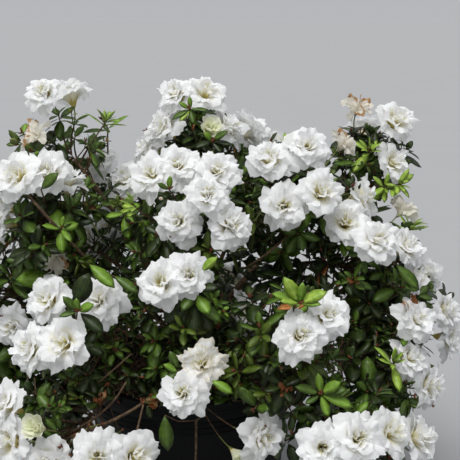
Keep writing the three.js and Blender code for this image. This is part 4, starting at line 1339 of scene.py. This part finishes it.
def petal_grid(columns, rows):
    """Shares along and across a petal for each corner of a grid, and the grid's faces."""
    bpy.ops.mesh.primitive_grid_add(x_subdivisions=columns, y_subdivisions=rows, size=2)
    made = bpy.context.active_object
    points = np.array([vertex.co for vertex in made.data.vertices])
    faces = np.array([list(polygon.vertices) for polygon in made.data.polygons])
    bpy.data.objects.remove(made)
    along = ((points[:, 1] + 1) / 2) ** 0.85
    return {"along": along, "across": points[:, 0], "faces": faces,
            "face_along": along[faces].mean(axis=1)}


def bezier(values, t):
    a, b, c, d = values
    r = 1 - t
    return a * r**3 + 3 * b * r * r * t + 3 * c * r * t * t + d * t**3


def bezier_slope(values, t):
    a, b, c, d = values
    r = 1 - t
    return 3 * (b - a) * r * r + 6 * (c - b) * r * t + 3 * (d - c) * t * t


def petal(grid, kind, azimuth, rng):
    """One petal in the flower's own frame: a claw that fans out to a round, ruffled blade."""
    f = RUFFLES
    u, v = grid["along"], grid["across"]
    width = kind["width"] * rng.uniform(*BLADE["widths"])
    reach = kind["reach"] * rng.uniform(*BLADE["reaches"])
    rise = rng.uniform(-1, 1) * kind["rise_spread"]
    radii = np.array(kind["radii"]) * reach
    heights = np.array(kind["heights"]) + [0, 0, BLADE["follow"] * rise, rise]
    fan = BLADE["half_angle"] * v
    side = np.sin(fan)
    across = width / 2 * lerp(BLADE["claw_width"] * v, side, u ** BLADE["claw"])
    tooth = sum(height * np.sin(teeth * v + rng.uniform(0, TURN))
                for teeth, height in BLADE["teeth"])
    along = u * lerp(1, np.cos(fan), BLADE["round"]) + BLADE["tooth"] * tooth * u**5
    notch = np.exp(-(((v - rng.uniform(*BLADE["notch_places"])) / BLADE["notch_width"]) ** 2))
    along -= BLADE["notch"] * u**4 * notch
    rim = np.clip((u - f["start"]) / (1 - f["start"]), 0, 1) ** f["steepness"]
    edge = rim * (f["even"] + f["uneven"] * np.sin(f["uneven_waves"] * v + rng.uniform(0, TURN)))
    edge *= 1 - f["corners"] * v**4
    waves = f["waves"] * rng.uniform(*f["waves_spread"])
    raised = kind["ruffle"] * edge * np.sin(waves * fan + rng.uniform(0, TURN))
    raised += kind["ruffle"] * rim * np.sin(f["slow"] * waves * fan + rng.uniform(0, TURN))
    raised += kind["frill"] * edge**2 * np.sin(f["fine"] * waves * fan + rng.uniform(0, TURN))
    raised += kind["cup"] * rng.uniform(*BLADE["cups"]) * side * side * u
    raised += BLADE["tilt"] * side * u
    pleats = np.sin(BLADE["pleats"] * v + rng.uniform(0, TURN))
    raised += BLADE["pleat"] * pleats * np.sin(math.pi * np.clip(u, 0, 1))
    turned = rng.uniform(-1, 1) * kind["twist"] * u
    across, raised = (across * np.cos(turned) - raised * np.sin(turned),
                      across * np.sin(turned) + raised * np.cos(turned))
    r, z = bezier(radii, along), bezier(heights, along)
    dr, dz = bezier_slope(radii, along), bezier_slope(heights, along)
    norm = np.hypot(dr, dz) + 1e-9
    angle = math.radians(azimuth) + across / np.maximum(r, BLADE["narrowest"])
    radial = r - dz / norm * raised
    height = z + dr / norm * raised
    return np.stack([radial * np.cos(angle), radial * np.sin(angle), height], axis=1)


def petal_finish(grid, age, row, rng):
    """Which tone each face of a petal has: greener towards the throat, and browner with age."""
    number = {tone: i for i, tone in enumerate(PETAL_TONES)}
    along = grid["face_along"]
    fresh = np.searchsorted(row["tones"], along)
    if age == "opening":
        return np.where(fresh > number["cream"], number["bud_cream"], fresh)
    if age == "withered":
        tone = "withered" if rng.random() < BROWNING["dark"] else "tan"
        return np.full(len(fresh), number[tone])
    if age == "spent":
        return np.where(along > rng.uniform(*BROWNING["spent"]), number["tan"], number["ivory"])
    if age == "fading":
        worn = np.where(along > BROWNING["ivory"], number["ivory"], fresh)
        return np.where(along > rng.uniform(*BROWNING["fading"]), number["tan"], worn)
    return fresh


def eased_inside(points):
    """Draws what comes near a side of the solids' box gently back inside it."""
    ease = EASE["depth"]
    middle = (BOX_LOW + BOX_HIGH) / 2
    half = (BOX_HIGH - BOX_LOW) / 2 - EASE["margin"]
    offset = points - middle
    past = np.abs(offset) - (half - ease)
    eased = np.where(past > 0, half - ease + ease * np.tanh(past / ease), np.abs(offset))
    return middle + np.sign(offset) * eased


def petal_pieces(flowers):
    """Every flower's petals, joined in three pieces."""
    broad, middling, narrow = petal_grid(30, 6), petal_grid(20, 5), petal_grid(9, 4)
    finishes = [petal_tissue(tone + "_petal", *colours) for tone, colours in PETAL_TONES.items()]
    groups = [[], [], []]
    names = list(SPRAYS)
    for number, flower in enumerate(flowers):
        rng = np.random.default_rng(SEEDS["petals"] + number)
        group = groups[names.index(flower["spray"]) * len(groups) // len(names)]
        place = np.array(flower["place"])
        openness = rng.uniform(*OPENNESS)
        form = flower["age"]
        if form == "fresh":
            form = "full" if rng.random() < FULL_CHANCE else "open"
        for row in PETALS[form]:
            width, count = row["width"], row["count"]
            grid = narrow if width < NARROW else middling if width < MIDDLING else broad
            if isinstance(count, tuple):
                count = int(rng.integers(*count))
            kind = {**row, "reach": row["reach"] * openness}
            for i in range(count):
                azimuth = row["first"] + (i + rng.uniform(*UNEVENNESS)) * 360 / count
                points = petal(grid, kind, azimuth, rng) @ place[:3, :3].T + place[:3, 3]
                finish = petal_finish(grid, flower["age"], row, rng)
                group.append((eased_inside(points), grid["faces"], finish))
    for number, group in enumerate(groups):
        points, faces, finish = zip(*group)
        offsets = np.cumsum([0] + [len(some) for some in points[:-1]])
        faces = np.concatenate([some + offset for some, offset in zip(faces, offsets)])
        made = mesh_from(np.concatenate(points), faces, np.concatenate(finish))
        finish_piece(made, f"petals_{number + 1}", finishes, SPRAY_NODES)


def stamens(flowers):
    """Pale threads with thickened tips that stand in each open throat."""
    s = STAMENS
    threads = []
    for number, flower in enumerate(flowers):
        if flower["age"] != "fresh":
            continue
        rng = np.random.default_rng(SEEDS["stamens"] + number)
        for _ in range(s["count"]):
            side = polar(rng.uniform(0, 360))
            out = side * rng.uniform(*s["out"])
            up = rng.uniform(*s["up"])
            local = [side - UP * s["foot"], out * 0.5, out + UP * up, out + UP * (up + s["tip"])]
            places = [Vector(eased_inside(np.array(flower["place"] @ place))) for place in local]
            threads.append(list(zip(places, s["radii"])))
    finish = petal_tissue("stamen_thread", "#dcd9a6", "#efedc9")
    finish_piece(bars(threads, 0), "stamens", [finish], SPRAY_NODES)


# Studio

def studio():
    """A wide pale floor under a soft sky and one broad soft light, and the photo's camera."""
    bpy.ops.mesh.primitive_plane_add(size=400, location=(0, 0, 0))
    floor = bpy.context.active_object
    floor.name = "studio_floor"
    floor.data.materials.append(studio_floor())
    scene = bpy.context.scene
    scene.view_settings.view_transform = "Standard"
    scene.world = bpy.data.worlds.new("soft_sky")
    scene.world.use_nodes = True
    sky = scene.world.node_tree.nodes["Background"]
    sky.inputs["Color"].default_value = linear("#eff1f5")
    sky.inputs["Strength"].default_value = 0.54
    high = bpy.data.lights.new("broad_soft_light", "SUN")
    high.angle = math.radians(40)
    high.energy = 3.2
    lamp = bpy.data.objects.new("broad_soft_light", high)
    lamp.rotation_euler = (math.radians(25), math.radians(-12), 0)
    scene.collection.objects.link(lamp)
    camera_data = bpy.data.cameras.new("camera")
    camera_data.sensor_width = 36
    camera_data.lens = 75
    camera = bpy.data.objects.new("camera", camera_data)
    camera.location = (0.053, -1.2, 0.685)
    camera.rotation_euler = (math.radians(90 - 12.7), 0, 0)
    scene.collection.objects.link(camera)
    scene.camera = camera


def dress():
    studio()
    laid = lay_out_limbs()
    sprays = grow(laid)
    flowers = [flower for spray in sprays for flower in spray["flowers"]]
    pot()
    mix()
    bark_chips()
    trunk_and_limbs(sprays)
    leaves = Leaves(flowers)
    grown, withered = grow_leaves(sprays, leaves)
    leaf_pieces(leaves)
    brown = bark("young_brown_wood", "#2a1d12", "#47341f", "#655137", grain_mm=4, relief_mm=0.5)
    olive = bark("green_shoot_skin", "#4c5228", "#6b7038", "#8b8c4e", grain_mm=6, relief_mm=0.3)
    scales = bark("bud_scales", "#35170e", "#5d2c18", "#8d5730", grain_mm=3, relief_mm=0.3)
    finish_piece(bars(grown["brown"], 1), "twigs", [brown], SPRAY_NODES)
    finish_piece(bars(grown["green"], 0), "green_shoots", [olive], SPRAY_NODES)
    finish_piece(bars(grown["buds"], 0), "buds", [scales], SPRAY_NODES)
    petal_pieces(flowers + withered)
    stamens(flowers)


dress()
